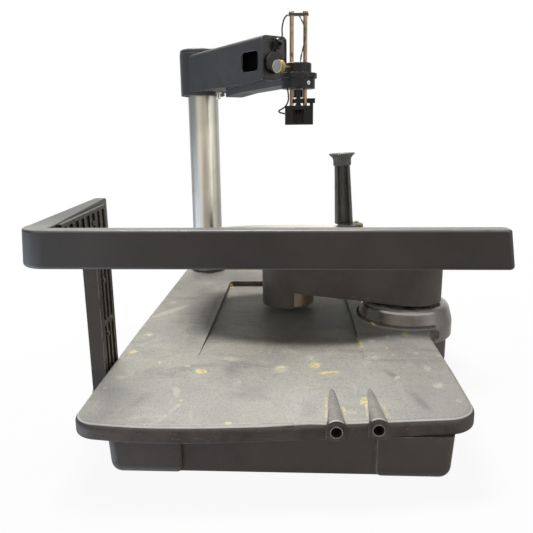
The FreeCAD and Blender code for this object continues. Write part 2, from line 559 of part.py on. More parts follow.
def c_wire(cx, cy, z, ro, ri, s0, s1):
    P = lambda r, a: V(cx + r * math.cos(deg(a)), cy + r * math.sin(deg(a)), z)
    m = (s0 + s1) / 2
    return Part.Wire([
        Part.Arc(P(ro, s0), P(ro, m), P(ro, s1)).toShape(),
        Part.LineSegment(P(ro, s1), P(ri, s1)).toShape(),
        Part.Arc(P(ri, s1), P(ri, m), P(ri, s0)).toShape(),
        Part.LineSegment(P(ri, s0), P(ro, s0)).toShape(),
    ])


zb, zt = PLATE_Z + 4.4, 251.0
w0 = c_wire(POST[0] + 1.2, POST[1] - 2, zb, 14.3, 10.8, -30, 215)
w1 = c_wire(POST[0] - 3.4, POST[1] - 2, zt, 11.8, 8.8, -30, 215)
put("handle_post", Part.makeLoft([w0, w1], True, True))
cz = 248.0
cap = revolve([(0.0, cz + 7.5), (0.0, cz + 15.0), (8.0, cz + 15.2), (15.0, cz + 16.6), (19.3, cz + 18.2), (20.0, cz + 17.4), (19.6, cz + 16.4), (17.0, cz + 14.2), (14.6, cz + 11.4), (13.7, cz + 8.0), (13.7, cz), (12.5, cz), (12.5, cz + 7.5)], POST[0] - 3.2, POST[1] - 2)
cap.rotate(V(POST[0] - 3.2, POST[1] - 2, cz), V(0, 1, 0), -3.0)
put("post_cap", cap)

# ---------------------------------------------------------------------------
# column
# ---------------------------------------------------------------------------
col = fillet(cyl(COL[0], COL[1], slab_z0 - 8, 420, COL_R), 1.0, at_z(420))
col = col.cut(cyl(COL[0], COL[1], slab_z0 - 9, 421, COL_R - 3.0))
put("column", col)
fl = tube(COL[0], COL[1], DECK_TOP, DECK_TOP + 5, 30.0, COL_R + 0.05)
fl = fillet(fl, 1.5, lambda b: at_z(DECK_TOP + 5)(b) and b.XLength > 58)
put("column_collar", fl)
# the socket sits under the deck, inside the housing
sock = cyl(COL[0], COL[1], 30.0, slab_z0 + 4.0, 28.5).cut(cyl(COL[0], COL[1], 34.0, 60, COL_R + 0.05))
NODES["base_tray"][0] = NODES["base_tray"][0].fuse(cyl(COL[0], COL[1], 7.5, 30.0, 17.0)).cut(cyl(COL[0], COL[1], 30.0, 60, 28.9)).removeSplitter()
put("column_socket", sock)

# ---------------------------------------------------------------------------
# guard: bar with side arm, ribbed post, bracket
# ---------------------------------------------------------------------------
G_CX = -190.0
w = Part.makePolygon([V(G_CX, 0, G_Z1), V(G_X1 - 0.5, 0, G_Z1), V(G_X1 + 4.4, 0, G_Z0), V(G_CX, 0, G_Z0), V(G_CX, 0, G_Z1)])
front = Part.Face(w).extrude(V(0, G_T, 0))
# the left end leans out a little towards its bottom, and the side arm narrows towards the rear
LEAN = 2.1 / (G_Z1 - G_Z0)


def left_face(y, z):
    return G_X0 - 9.9 + 12.4 * y / G_REAR + LEAN * (z - G_Z1)


ends = []
for y in (0.0, G_REAR):
    ends.append(Part.makePolygon([V(left_face(y, G_Z0), y, G_Z0), V(left_face(y, 240.0), y, 240.0), V(-186.0, y, 240.0), V(-186.0, y, G_Z0), V(left_face(y, G_Z0), y, G_Z0)]))
side = Part.makeLoft(ends, True, True)
side = side.common(prism_x([(0.0, G_Z0), (G_REAR, G_Z0), (G_REAR, 233.0), (30.0, G_Z1), (0.0, G_Z1)], G_X0 - 20, -186.0))
gb = front.fuse(side).removeSplitter()
gb = fillet(gb, 24.0, lambda b: b.ZLength > 20 and b.XMax < -200 and b.YMax < 0.01)
gb = fillet(gb, 4.0, lambda b: b.ZLength > 20 and b.XMin > 150 and b.YLength < 0.01)
gb = fillet(gb, 4.0, lambda b: b.ZLength > 20 and b.XMax < -190 and b.YMin > G_REAR - 0.01)
gb = fillet(gb, 1.8, lambda b: b.ZMin > G_Z1 - 0.01)
gb = fillet(gb, 3.0, at_z(G_Z0))
put("guard_bar", gb)
PIPS = [(78, 211), (112, 214), (130.0, 151), (130.0, 93), (141.0, 106)]
pp = box(-197.5, -182.8, 112, 156, 18, G_Z0)
panel = prism_x([(36, G_Z0 + 0.0), (150, G_Z0 + 0.0), (150, 228.0), (36, 225.2)], -186.0, -182.6)
gp = fuse(pp, panel)
# slots between the ribs on the inner face: one row in the panel, three long ones in the upright
for i in range(8):
    y = 38.0 + 14.2 * i
    zt = 225.2 + (228.0 - 225.2) * (y - 36) / 114 - 3.2
    gp = gp.cut(box(-185.2, -180.0, y, y + 8.8, G_Z0 + 2.5, zt))
for y0, y1 in ((121.5, 128.5), (131.5, 139.5), (142.5, 150.5)):
    for z0, z1 in ((26.0, 104.0), (108.0, G_Z0 - 4.0)):
        gp = gp.cut(box(-190.5, -180.0, y0, y1, z0, z1))
gp = gp.removeSplitter()
pips = PIPS
for y, z in pips:
    gp = gp.fuse(cyld((-185.4, y, z), (1, 0, 0), 3.9, 2.4))
put("guard_post", gp.removeSplitter())
gbr = box(-182.8, -151.5, 114, 154, 22, 39)
gbr = gbr.cut(box(-179.8, -154.5, 110, 150, 25, 45))
put("guard_bracket", gbr)
gs = []
for y in (120.0, 148.0):
    gs.append(fuse(cyld((-200.3, y, 30.5), (1, 0, 0), 2.8, 4.0), cyld((-197.5, y, 30.5), (1, 0, 0), 17.5, 2.0)))
    for n, a, b in (("guard_post", -198, 16.0), ("guard_bracket", -183, 6.0)):
        NODES[n][0] = NODES[n][0].cut(cyld((a, y, 30.5), (1, 0, 0), b, 2.0))
put("guard_screws", *gs)

# ---------------------------------------------------------------------------
# delivery arm: built along +X from the column, then turned to its heading
# ---------------------------------------------------------------------------
HEADING = math.degrees(math.atan2(HEAD[1] - COL[1], HEAD[0] - COL[0]))
REACH = math.hypot(HEAD[0] - COL[0], HEAD[1] - COL[1])


def A(s):
    """place a solid drawn with the column at 0, 0 and the head on +X"""
    s = s.copy()
    s.rotate(V(0, 0, 0), V(0, 0, 1), HEADING)
    s.translate(V(COL[0], COL[1], 0))
    return s


put("height_sleeve", A(tube(0, 0, 366.5, 398, 30.4, COL_R + 0.05)))
kn = fillet(cyl(0, 0, KNUCKLE_Z0, 424.5, KNUCKLE_R), 1.4, at_z(KNUCKLE_Z0))
# tapered body: wide at the knuckle, its top and bottom rise towards the head
B0, HW0 = 16.0, 34.6
w = Part.makePolygon([V(B0, -60, 363.6), V(110, -60, 364.5), V(170, -60, 366.0), V(ARM2_END, -60, 369.4), V(ARM2_END, -60, 428.2), V(B0, -60, 421.6), V(B0, -60, 363.6)])
arm = Part.Face(w).extrude(V(0, 120, 0))
arm = arm.common(prism([(B0, -HW0), (ARM2_END, -ARM2_HW), (ARM2_END, ARM2_HW), (B0, HW0)], 350, 440))
arm = fillet(arm, 7.0, lambda b: b.ZMin > 421 and b.ZLength > 5 and b.XLength > 100)
arm = fillet(arm, 5.0, lambda b: b.ZMin > 410 and b.ZLength < 12 and b.XLength < 0.01 and b.XMin < B0 + 1)
arm = fillet(arm, 1.6, lambda b: (abs(b.XMin - ARM2_END) < 0.01 and b.XLength < 0.01 and b.ZLength > 30))
shell = kn.fuse(arm)
cavp = Part.makePolygon([V(54, -60, 367.6), V(110, -60, 368.2), V(ARM2_END - 3.4, -60, 372.8), V(ARM2_END - 3.4, -60, 424.0), V(54, -60, 418.9), V(54, -60, 367.6)])
cavs = Part.Face(cavp).extrude(V(0, 120, 0)).common(prism([(52, -HW0 + 5.6), (ARM2_END - 3.4, -ARM2_HW + 3), (ARM2_END - 3.4, ARM2_HW - 3), (52, HW0 - 5.6)], 350, 440))
shell = shell.cut(cavs)
# recessed end panel with a proud rim
shell = shell.cut(box(ARM2_END - 1.6, ARM2_END + 1, -ARM2_HW + 2.2, ARM2_HW - 2.2, 374.0, 424.0))
# window in the side wall facing the user
win = rbox(160, 198, -ARM2_HW - 12, ARM2_HW + 12, 382.5, 408.5, 0)
win = win.makeFillet(6.0, edges_where(win, lambda b: b.XLength < 1e-3 and b.ZLength < 1e-3))
shell = shell.cut(win.common(box(150, 210, -ARM2_HW - 10, 0, 370, 420)))
shell = fillet(shell, 1.3, lambda b: b.XMin > 159 and b.XMax < 199 and b.ZMin > 382 and b.ZMax < 409 and b.YMax < -21.9)
shell = shell.cut(cyl(0, 0, 350, 421.5, 30.9))
shell = shell.cut(cyl(0, 0, 410, 430, 27.0))
put("arm_shell", A(shell.removeSplitter()))
put("knuckle_cap", A(fillet(cyl(0, 0, 424.5, 431.8, KNUCKLE_R - 0.6), 4.0, at_z(431.8)).fuse(cyl(0, 0, 420.3, 424.5, 26.6))))
collar = cyld((ARM2_END - 1.6, -2.6, 392.6), (1, 0, 0), 7.4, 14.6)
collar = fillet(collar, 1.6, lambda b: b.XLength < 0.01 and abs(b.XMin - (ARM2_END + 5.8)) < 0.01)
put("end_collar", A(collar))
# cable gland above the collar, leaning up and outward
def along(s, p, d):
    s = s.copy()
    s.Placement = FreeCAD.Placement(p, FreeCAD.Rotation(V(0, 0, 1), d)).multiply(s.Placement)
    return s


gd = V(0.62, 0.26, 0.74).normalize()
g0 = V(ARM2_END - 1.6, -0.9, 409.6)
gl = fuse(
    Part.makeCylinder(3.4, 8.0, g0 - gd * 2.0, gd),
    along(hexagon(0, 0, 0, 4.6, 11.6), g0 + gd * 5.0, gd),
    Part.makeCylinder(4.6, 1.4, g0 + gd * 9.6, gd),
    along(hexagon(0, 0, 0, 4.2, 10.4, 20), g0 + gd * 11.0, gd),
    Part.makeCone(5.2, 3.4, 1.3, g0 + gd * 15.2, gd))
gl = gl.cut(box(0, ARM2_END - 1.6, -40, 40, 380, 440)).cut(cyld((ARM2_END - 1.6, -2.6, 392.6), (1, 0, 0), 12, 14.7))
put("cable_gland", A(gl))
GLAND = g0 + gd * 16.5
GLAND_DIR = gd
# tube beam that carries the head ring
beam = prism([(95, -11), (100, -15.5), (REACH - 12, -15.5), (REACH - 12, 15.5), (100, 15.5), (95, 11)], 350.0, 372.0)
w = Part.makePolygon([V(95, -60, 355.2), V(98, -60, 351.9), V(141, -60, 356.0), V(240, -60, 359.4), V(REACH, -60, 359.4), V(REACH, -60, 367.4), V(ARM2_END + 0.6, -60, 367.4), V(ARM2_END, -60, 369.35), V(170, -60, 365.95), V(110, -60, 364.45), V(95, -60, 364.3), V(95, -60, 355.2)])
beam = beam.common(Part.Face(w).extrude(V(0, 120, 0)))
beam = beam.cut(cyl(REACH, 0, 340, 380, 22.0))
put("tube_beam", A(beam))
# head pieces in the world frame, so the rods can stand square to the user
hring = cyl(HEAD[0], HEAD[1], RING_Z0, RING_Z1, 22.0)
hfl = fillet(cyl(HEAD[0], HEAD[1], RING_Z1, FLANGE_Z1, 24.5), 0.8, at_z(FLANGE_Z1))
hcap = fillet(cyl(HEAD[0], HEAD[1], FLANGE_Z1, CAP_Z1, 17.2), 1.6, at_z(CAP_Z1))
ROD_X = 8.85
ROD_R = 2.65
for dx in (-ROD_X, ROD_X):
    h = cyl(HEAD[0] + dx, HEAD[1], 340, 400, ROD_R + 0.05)
    hring, hfl, hcap = hring.cut(h), hfl.cut(h), hcap.cut(h)
stem_hole = cyl(HEAD[0], HEAD[1], 340, 400, 3.3)
hring, hfl, hcap = hring.cut(stem_hole), hfl.cut(stem_hole), hcap.cut(stem_hole)
# thumb screw: face towards the user's left, tip in the cap
ts_d = V(0.67, 0.742, 0.0).normalize()
ts_z = 380.4
tip = V(HEAD[0], HEAD[1], ts_z) - ts_d * 12.2
hcap = hcap.cut(Part.makeCylinder(2.05, 14, V(HEAD[0], HEAD[1], ts_z) - ts_d * 24.0, ts_d))
put("head_ring", hring)
put("head_flange", hfl)
put("head_cap", hcap)
face = V(HEAD[0], HEAD[1], ts_z) - ts_d * 40.5
ts = fuse(
    Part.makeCylinder(8.2, 7.2, face, ts_d),
    Part.makeCone(6.4, 3.4, 3.6, face + ts_d * 7.2, ts_d),
    Part.makeCylinder(2.0, 40.5 - 12.4 - 10.8, face + ts_d * 10.8, ts_d))
put("thumb_screw", ts)
# grub screw in the ring, facing the user's right
gdv = V(0.62, -0.785, 0).normalize()
gp0 = V(HEAD[0], HEAD[1], 361.0) + gdv * 21.2
NODES["head_ring"][0] = NODES["head_ring"][0].cut(Part.makeCylinder(2.6, 10, V(HEAD[0], HEAD[1], 361.0) + gdv * 14.5, gdv))
grub = Part.makeCylinder(2.6, 7.2, V(HEAD[0], HEAD[1], 361.0) + gdv * 14.5, gdv)
grub = grub.cut(Part.makeCylinder(1.25, 5, V(HEAD[0], HEAD[1], 361.0) + gdv * 18.6, gdv))
put("grub_screw", grub)
# clamp screw under the arm, beside the column
CLX, CLY = 48.6, 1.0
NODES["arm_shell"][0] = NODES["arm_shell"][0].cut(A(cyl(CLX, CLY, 361.0, 374.5, 2.05)))
cb = fuse(hexagon(CLX, CLY, 359.6, 363.6, 10.0), cyl(CLX, CLY, 363.6, 374.0, 2.0), cyl(CLX, CLY, 357.4, 359.6, 2.8), fillet(cyl(CLX, CLY, 351.8, 357.4, 4.1), 1.6, at_z(351.8)))
put("clamp_screw", A(cb))

# ---------------------------------------------------------------------------
# drop head: rods, crossbar, sensor block, nozzle
# ---------------------------------------------------------------------------
hx, hy = HEAD
rods = [cyl(hx + dx, hy, BLOCK_Z1 - 2.4, BAR_Z1, ROD_R) for dx in (-ROD_X, ROD_X)]
put("guide_rods", *rods)
cbar = rbox(hx - 13.0, hx + 13.0, hy - 3.2, hy + 3.2, BAR_Z0, BAR_Z1, 2.0)
for dx in (-ROD_X, ROD_X):
    cbar = cbar.cut(cyl(hx + dx, hy, 440, 455, ROD_R))
put("crossbar", cbar)
put("crossbar_screws", *[fillet(cyl(hx + dx, hy, BAR_Z1, BAR_TOP, 3.3), 0.6, at_z(BAR_TOP)) for dx in (-ROD_X, ROD_X)])
bz0, bz1 = BLOCK_Z0, BLOCK_Z1
blk = rbox(hx + 1.0 - 18.6, hx + 1.0 + 18.6, hy - 12, hy + 12, bz0, bz1, 1.5)
blk = blk.fuse(box(hx + 15.2, hx + 19.6, hy - 10, hy + 2, bz1, bz1 + 3.2))
blk = blk.cut(box(hx - 7.0, hx + 7.5, hy - 14, hy + 6.0, bz0 + 2.4, bz1 - 5.0))
blk = blk.cut(cyl(hx, hy, bz0 - 2, bz0 + 5, 4.6))
for dx in (-ROD_X, ROD_X):
    blk = blk.cut(cyl(hx + dx, hy, bz1 - 2.4, 345, ROD_R))
blk = blk.fuse(Part.makeCone(4.6, 3.2, 3.0, V(hx, hy, bz1), V(0, 0, 1)))
blk = blk.cut(cyl(hx, hy, 320, 345, 2.5))
put("sensor_block", blk.removeSplitter())
put("tube_nut", fuse(hexagon(hx, hy, 343.4, 353.2, 10.4, 0)).cut(cyl(hx, hy, 340, 356, 2.5)))
stem = cyl(hx, hy, 322.5, 353.6, 2.5).cut(cyl(hx, hy, 310, 360, 0.9))
put("drop_tube", stem)
clip = box(hx - 6.2, hx + 6.6, hy - 4.5, hy + 4.5, 336.2, 341.4).fuse(box(hx - 4, hx + 22.5, hy + 3.6, hy + 8.6, 336.4, 342.6))
clip = clip.cut(cyl(hx, hy, 330, 345, 2.5))
for dx in (-ROD_X, ROD_X):
    clip = clip.cut(cyl(hx + dx, hy, 330, 345, ROD_R + 0.3))
put("tube_clip", clip.removeSplitter())

# ---------------------------------------------------------------------------
# leads, held at both ends
# ---------------------------------------------------------------------------
Gw = GLAND.__class__(GLAND.x, GLAND.y, GLAND.z)
m_ = FreeCAD.Rotation(V(0, 0, 1), HEADING)
Gw = m_.multVec(GLAND) + V(COL[0], COL[1], 0)
Gd = m_.multVec(GLAND_DIR)
print("gland mouth", [round(c, 2) for c in Gw], "dir", [round(c, 3) for c in Gd], "heading %.3f reach %.3f" % (HEADING, REACH))

LEADS = {}


def put_lead(name, pts, dia):
    LEADS[name] = pts
    put(name, lead(pts, dia, name))


BAR_MID = (BAR_Z0 + BAR_Z1) / 2
put_lead("gland_lead", [(hx - 13.8, hy + 0.3, BAR_MID), (2.0, 359.6, 444.3), (-0.3, 364.0, 439.9), (-1.7, 371.5, 435.4), (-2.5, 380.9, 432.3), (-2.3, 389.0, 429.0), (Gw.x + Gd.x * 4.6, Gw.y + Gd.y * 4.6, Gw.z + Gd.z * 4.6), (Gw.x, Gw.y, Gw.z)], 2.0)
put_lead("signal_pair", [(19.3, hy - 3.2, BAR_MID), (22.9, 351.0, 439.9), (27.0, 349.0, 431.6), (28.4, 348.6, 422.2), (27.6, 348.8, 412.1), (24.9, 349.2, 402.0), (22.7, 350.2, 393.6), (22.1, 350.8, CAP_Z1 + 0.4)], 2.0)
put_lead("sensor_lead", [(5.2, 346.8, RING_Z0), (6.6, 345.4, 346.8), (6.6, 344.0, 338.2), (2.8, 343.6, 331.6), (-2.4, 344.6, 328.2), (-6.6, 347.2, 326.5), (-5.9, 351.0, 324.6), (-2.2, 353.0, 323.4), (hx + 1.0 - 18.95, 353.6, 322.7)], 2.0)

# ---------------------------------------------------------------------------
# write the parts
# ---------------------------------------------------------------------------
lo, hi = V(1e9, 1e9, 1e9), V(-1e9, -1e9, -1e9)
for name, solids in NODES.items():
    out = []
    for s in solids:
        s = s.copy()
        s.translate(V(-ORIGIN.x, -ORIGIN.y, -ORIGIN.z))
        out += s.Solids
    for s in out:
        b = s.optimalBoundingBox(True, False)
        lo = V(min(lo.x, b.XMin), min(lo.y, b.YMin), min(lo.z, b.ZMin))
        hi = V(max(hi.x, b.XMax), max(hi.y, b.YMax), max(hi.z, b.ZMax))
    bad = [i for i, s in enumerate(out) if not s.isValid() or s.Volume <= 0]
    shape = out[0] if len(out) == 1 else Part.makeCompound(out)
    print("%-18s solids %d volume %.0f%s" % (name, len(out), sum(s.Volume for s in out), "  INVALID %s" % bad if bad else ""))
    shape.exportStep("parts/%s.step" % name)
print("nodes", len(NODES))
print("box", [round(c, 3) for c in lo], [round(c, 3) for c in hi], "centre", round((lo.x + hi.x) / 2, 3), round((lo.y + hi.y) / 2, 3))
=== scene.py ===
import math

import bmesh
import bpy
from mathutils import Matrix, Vector, noise


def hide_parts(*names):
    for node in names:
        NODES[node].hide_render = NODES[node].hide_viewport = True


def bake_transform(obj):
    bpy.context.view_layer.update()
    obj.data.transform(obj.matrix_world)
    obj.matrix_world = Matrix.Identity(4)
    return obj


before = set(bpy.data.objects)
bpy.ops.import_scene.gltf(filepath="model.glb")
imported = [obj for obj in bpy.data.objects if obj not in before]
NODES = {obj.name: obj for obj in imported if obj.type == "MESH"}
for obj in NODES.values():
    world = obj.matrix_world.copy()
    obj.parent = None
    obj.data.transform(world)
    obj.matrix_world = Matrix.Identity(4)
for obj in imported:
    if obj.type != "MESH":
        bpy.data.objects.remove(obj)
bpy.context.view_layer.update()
SC = bpy.context.scene
SC.view_settings.view_transform = "Standard"
SC.view_settings.look = "None"


def P(x, y, z):
    """a point of the drawing, in millimetres, in the row frame"""
    return Vector(((x - 6.288) / 1000, (y - 299.5) / 1000, z / 1000))


# ---------------------------------------------------------------------------
# camera, floor, light
# ---------------------------------------------------------------------------
yaw, pitch, roll = math.radians(2.986), math.radians(13.409), math.radians(-0.599)
up = Vector((0, 0, 1))
fwd = Vector((-math.sin(yaw), math.cos(yaw), 0))
right = Vector((math.cos(yaw), math.sin(yaw), 0))
f2 = fwd * math.cos(pitch) - up * math.sin(pitch)
u2 = up * math.cos(pitch) + fwd * math.sin(pitch)
r3 = right * math.cos(roll) + u2 * math.sin(roll)
u3 = u2 * math.cos(roll) - right * math.sin(roll)
cam_data = bpy.data.cameras.new("camera")
cam_data.sensor_width = 36.0
cam_data.lens = 38.45
cam_data.clip_start, cam_data.clip_end = 0.02, 50
cam = bpy.data.objects.new("camera", cam_data)
SC.collection.objects.link(cam)
m = Matrix((r3, u3, -f2)).transposed().to_4x4()
m.translation = P(16.0, -433.7, 300.8)
cam.matrix_world = m
SC.camera = cam


def area(name, loc, target, sx, sy, power, color=(1, 1, 1), spread=180.0, mirrored=True):
    d = bpy.data.lights.new(name, "AREA")
    d.shape = "RECTANGLE"
    d.size, d.size_y = sx, sy
    d.energy = power
    d.color = color
    d.spread = math.radians(spread)
    o = bpy.data.objects.new(name, d)
    SC.collection.objects.link(o)
    o.location = loc
    direction = Vector(target) - Vector(loc)
    o.rotation_mode = "QUATERNION"
    o.rotation_quaternion = direction.to_track_quat("-Z", "Y")
    o.visible_glossy = mirrored
    return o


area("key_top", (-0.24, 0.80, 1.66), (0.0, 0.0, 0.08), 1.10, 0.36, 41.0, (1.0, 0.985, 0.96))
area("front_low", (0.10, -2.2, 0.22), (0.0, 0.0, 0.16), 2.2, 0.30, 13.5, (1.0, 0.97, 0.94), mirrored=False)
area("left_window", (-1.7, -0.75, 0.45), (0.0, 0.0, 0.2), 0.34, 1.0, 8.0, (0.78, 0.88, 1.0), mirrored=False)
area("right_window", (1.7, -0.1, 0.8), (0.0, 0.1, 0.25), 0.5, 1.1, 2.5, (1.0, 0.96, 0.9), mirrored=False)

world = bpy.data.worlds.new("studio")
SC.world = world
world.use_nodes = True
wt = world.node_tree
wt.nodes.clear()
w_out = wt.nodes.new("ShaderNodeOutputWorld")
w_cam = wt.nodes.new("ShaderNodeBackground")
w_cam.inputs[0].default_value = (1, 1, 1, 1)
w_cam.inputs[1].default_value = 1.0
w_amb = wt.nodes.new("ShaderNodeBackground")
w_amb.inputs[1].default_value = 0.028
w_amb.inputs[0].default_value = (0.96, 0.97, 1.0, 1)
# what bare metal and gloss mirror: a soft studio with walls, windows and darker corners all round
w_co = wt.nodes.new("ShaderNodeTexCoord")
w_sep = wt.nodes.new("ShaderNodeSeparateXYZ")
wt.links.new(w_co.outputs["Generated"], w_sep.inputs[0])
w_neg = wt.nodes.new("ShaderNodeMath")
w_neg.operation = "MULTIPLY"
w_neg.inputs[1].default_value = -1.0
wt.links.new(w_sep.outputs[1], w_neg.inputs[0])
w_az = wt.nodes.new("ShaderNodeMath")
w_az.operation = "ARCTAN2"
wt.links.new(w_sep.outputs[0], w_az.inputs[0])
wt.links.new(w_neg.outputs[0], w_az.inputs[1])
w_turn = wt.nodes.new("ShaderNodeMapRange")
w_turn.inputs["From Min"].default_value = -math.pi
w_turn.inputs["From Max"].default_value = math.pi
wt.links.new(w_az.outputs[0], w_turn.inputs["Value"])
WALL = [(-180, 0.80, 0.80, 0.78), (-150, 0.78, 0.78, 0.76), (-118, 0.42, 0.43, 0.44), (-92, 0.33, 0.34, 0.34), (-64, 0.22, 0.29, 0.27), (-30, 1.16, 1.02, 0.83), (-12, 1.04, 0.92, 0.75), (8, 0.80, 0.70, 0.57),
        (24, 0.98, 0.91, 0.80), (58, 1.88, 1.84, 1.66), (84, 1.02, 1.00, 0.90), (112, 0.52, 0.52, 0.48), (146, 0.84, 0.82, 0.78), (180, 0.80, 0.80, 0.78)]
BENCH = [(-180, 0.50, 0.50, 0.50), (-140, 0.46, 0.47, 0.49), (-114, 0.90, 1.00, 1.20), (-92, 2.20, 2.44, 2.85), (-66, 2.30, 2.50, 2.85), (-44, 1.75, 1.90, 2.16), (-27, 1.45, 1.55, 1.72), (-20, 0.46, 0.45, 0.45), (0, 0.46, 0.44, 0.42), (40, 0.56, 0.53, 0.49), (80, 0.76, 0.72, 0.66), (130, 0.50, 0.48, 0.45), (180, 0.50, 0.50, 0.50)]


def ring_of(stops):
    n = wt.nodes.new("ShaderNodeValToRGB")
    n.color_ramp.interpolation = "EASE"
    els = n.color_ramp.elements
    for i, (deg, r, g, b) in enumerate(stops):
        pos = (deg + 180) / 360
        el = els[i] if i < 2 else els.new(pos)
        el.position = pos
        el.color = (r, g, b, 1)
    wt.links.new(w_turn.outputs[0], n.inputs[0])
    return n.outputs[0]


w_low = wt.nodes.new("ShaderNodeMapRange")
w_low.interpolation_type = "SMOOTHSTEP"
w_low.inputs["From Min"].default_value = -0.125
w_low.inputs["From Max"].default_value = -0.155
wt.links.new(w_sep.outputs[2], w_low.inputs["Value"])
w_env = wt.nodes.new("ShaderNodeMix")
w_env.data_type = "RGBA"
wt.links.new(w_low.outputs[0], w_env.inputs[0])
wt.links.new(ring_of(WALL), w_env.inputs[6])
wt.links.new(ring_of(BENCH), w_env.inputs[7])
# a wide soft panel high up in front
w_high = wt.nodes.new("ShaderNodeMapRange")
w_high.interpolation_type = "SMOOTHSTEP"
w_high.inputs["From Min"].default_value = 0.30
w_high.inputs["From Max"].default_value = 0.55
wt.links.new(w_sep.outputs[2], w_high.inputs["Value"])
w_face = wt.nodes.new("ShaderNodeMapRange")
w_face.interpolation_type = "SMOOTHSTEP"
w_face.inputs["From Min"].default_value = 0.05
w_face.inputs["From Max"].default_value = 0.25
wt.links.new(w_neg.outputs[0], w_face.inputs["Value"])
w_panel = wt.nodes.new("ShaderNodeMath")
w_panel.operation = "MULTIPLY"
wt.links.new(w_high.outputs[0], w_panel.inputs[0])
wt.links.new(w_face.outputs[0], w_panel.inputs[1])
w_env2 = wt.nodes.new("ShaderNodeMix")
w_env2.data_type = "RGBA"
wt.links.new(w_panel.outputs[0], w_env2.inputs[0])
wt.links.new(w_env.outputs[2], w_env2.inputs[6])
w_env2.inputs[7].default_value = (3.4, 3.4, 3.35, 1)
w_gl = wt.nodes.new("ShaderNodeBackground")
w_gl.inputs[1].default_value = 0.9
wt.links.new(w_env2.outputs[2], w_gl.inputs[0])
w_mix = wt.nodes.new("ShaderNodeMixShader")
w_mix2 = wt.nodes.new("ShaderNodeMixShader")
w_path = wt.nodes.new("ShaderNodeLightPath")
wt.links.new(w_path.outputs["Is Glossy Ray"], w_mix2.inputs[0])
wt.links.new(w_amb.outputs[0], w_mix2.inputs[1])
wt.links.new(w_gl.outputs[0], w_mix2.inputs[2])
wt.links.new(w_path.outputs["Is Camera Ray"], w_mix.inputs[0])
wt.links.new(w_mix2.outputs[0], w_mix.inputs[1])
wt.links.new(w_cam.outputs[0], w_mix.inputs[2])
wt.links.new(w_mix.outputs[0], w_out.inputs[0])

bm = bmesh.new()
bmesh.ops.create_circle(bm, cap_ends=True, segments=96, radius=9.0)
me = bpy.data.meshes.new("floor")
bm.to_mesh(me)
bm.free()
floor = bpy.data.objects.new("floor", me)
SC.collection.objects.link(floor)
fm = bpy.data.materials.new("floor_white")
fm.use_nodes = True
ft = fm.node_tree
ft.nodes.clear()
f_out = ft.nodes.new("ShaderNodeOutputMaterial")
f_em = ft.nodes.new("ShaderNodeEmission")
f_em.inputs[0].default_value = (1, 1, 1, 1)
f_em.inputs[1].default_value = 1.0
f_df = ft.nodes.new("ShaderNodeBsdfDiffuse")
f_df.inputs[0].default_value = (0.8, 0.8, 0.8, 1)
f_dim = ft.nodes.new("ShaderNodeBsdfDiffuse")
f_dim.inputs[0].default_value = (0.45, 0.45, 0.45, 1)
f_m1 = ft.nodes.new("ShaderNodeMixShader")
f_m2 = ft.nodes.new("ShaderNodeMixShader")
f_path = ft.nodes.new("ShaderNodeLightPath")
f_co = ft.nodes.new("ShaderNodeTexCoord")
f_len = ft.nodes.new("ShaderNodeVectorMath")
f_len.operation = "LENGTH"
ft.links.new(f_co.outputs["Object"], f_len.inputs[0])
f_far = ft.nodes.new("ShaderNodeMapRange")
f_far.interpolation_type = "SMOOTHSTEP"
f_far.inputs["From Min"].default_value = 0.30
f_far.inputs["From Max"].default_value = 0.75
f_far.inputs["To Min"].default_value = 0.07
f_far.inputs["To Max"].default_value = 0.0
ft.links.new(f_len.outputs["Value"], f_far.inputs["Value"])
ft.links.new(f_far.outputs[0], f_m1.inputs[0])
ft.links.new(f_em.outputs[0], f_m1.inputs[1])
ft.links.new(f_df.outputs[0], f_m1.inputs[2])
ft.links.new(f_path.outputs["Is Camera Ray"], f_m2.inputs[0])
f_clear = ft.nodes.new("ShaderNodeBsdfTransparent")
f_m3 = ft.nodes.new("ShaderNodeMixShader")
ft.links.new(f_path.outputs["Is Glossy Ray"], f_m3.inputs[0])
ft.links.new(f_dim.outputs[0], f_m3.inputs[1])
ft.links.new(f_clear.outputs[0], f_m3.inputs[2])
ft.links.new(f_m3.outputs[0], f_m2.inputs[1])
ft.links.new(f_m1.outputs[0], f_m2.inputs[2])
ft.links.new(f_m2.outputs[0], f_out.inputs[0])
me.materials.append(fm)


# ---------------------------------------------------------------------------
# material builder
# ---------------------------------------------------------------------------
def lin(r, g, b):
    """sRGB 0-255 to linear"""
    f = lambda c: c / 12.92 if c <= 0.04045 else ((c + 0.055) / 1.055) ** 2.4
    return (f(r / 255), f(g / 255), f(b / 255), 1.0)


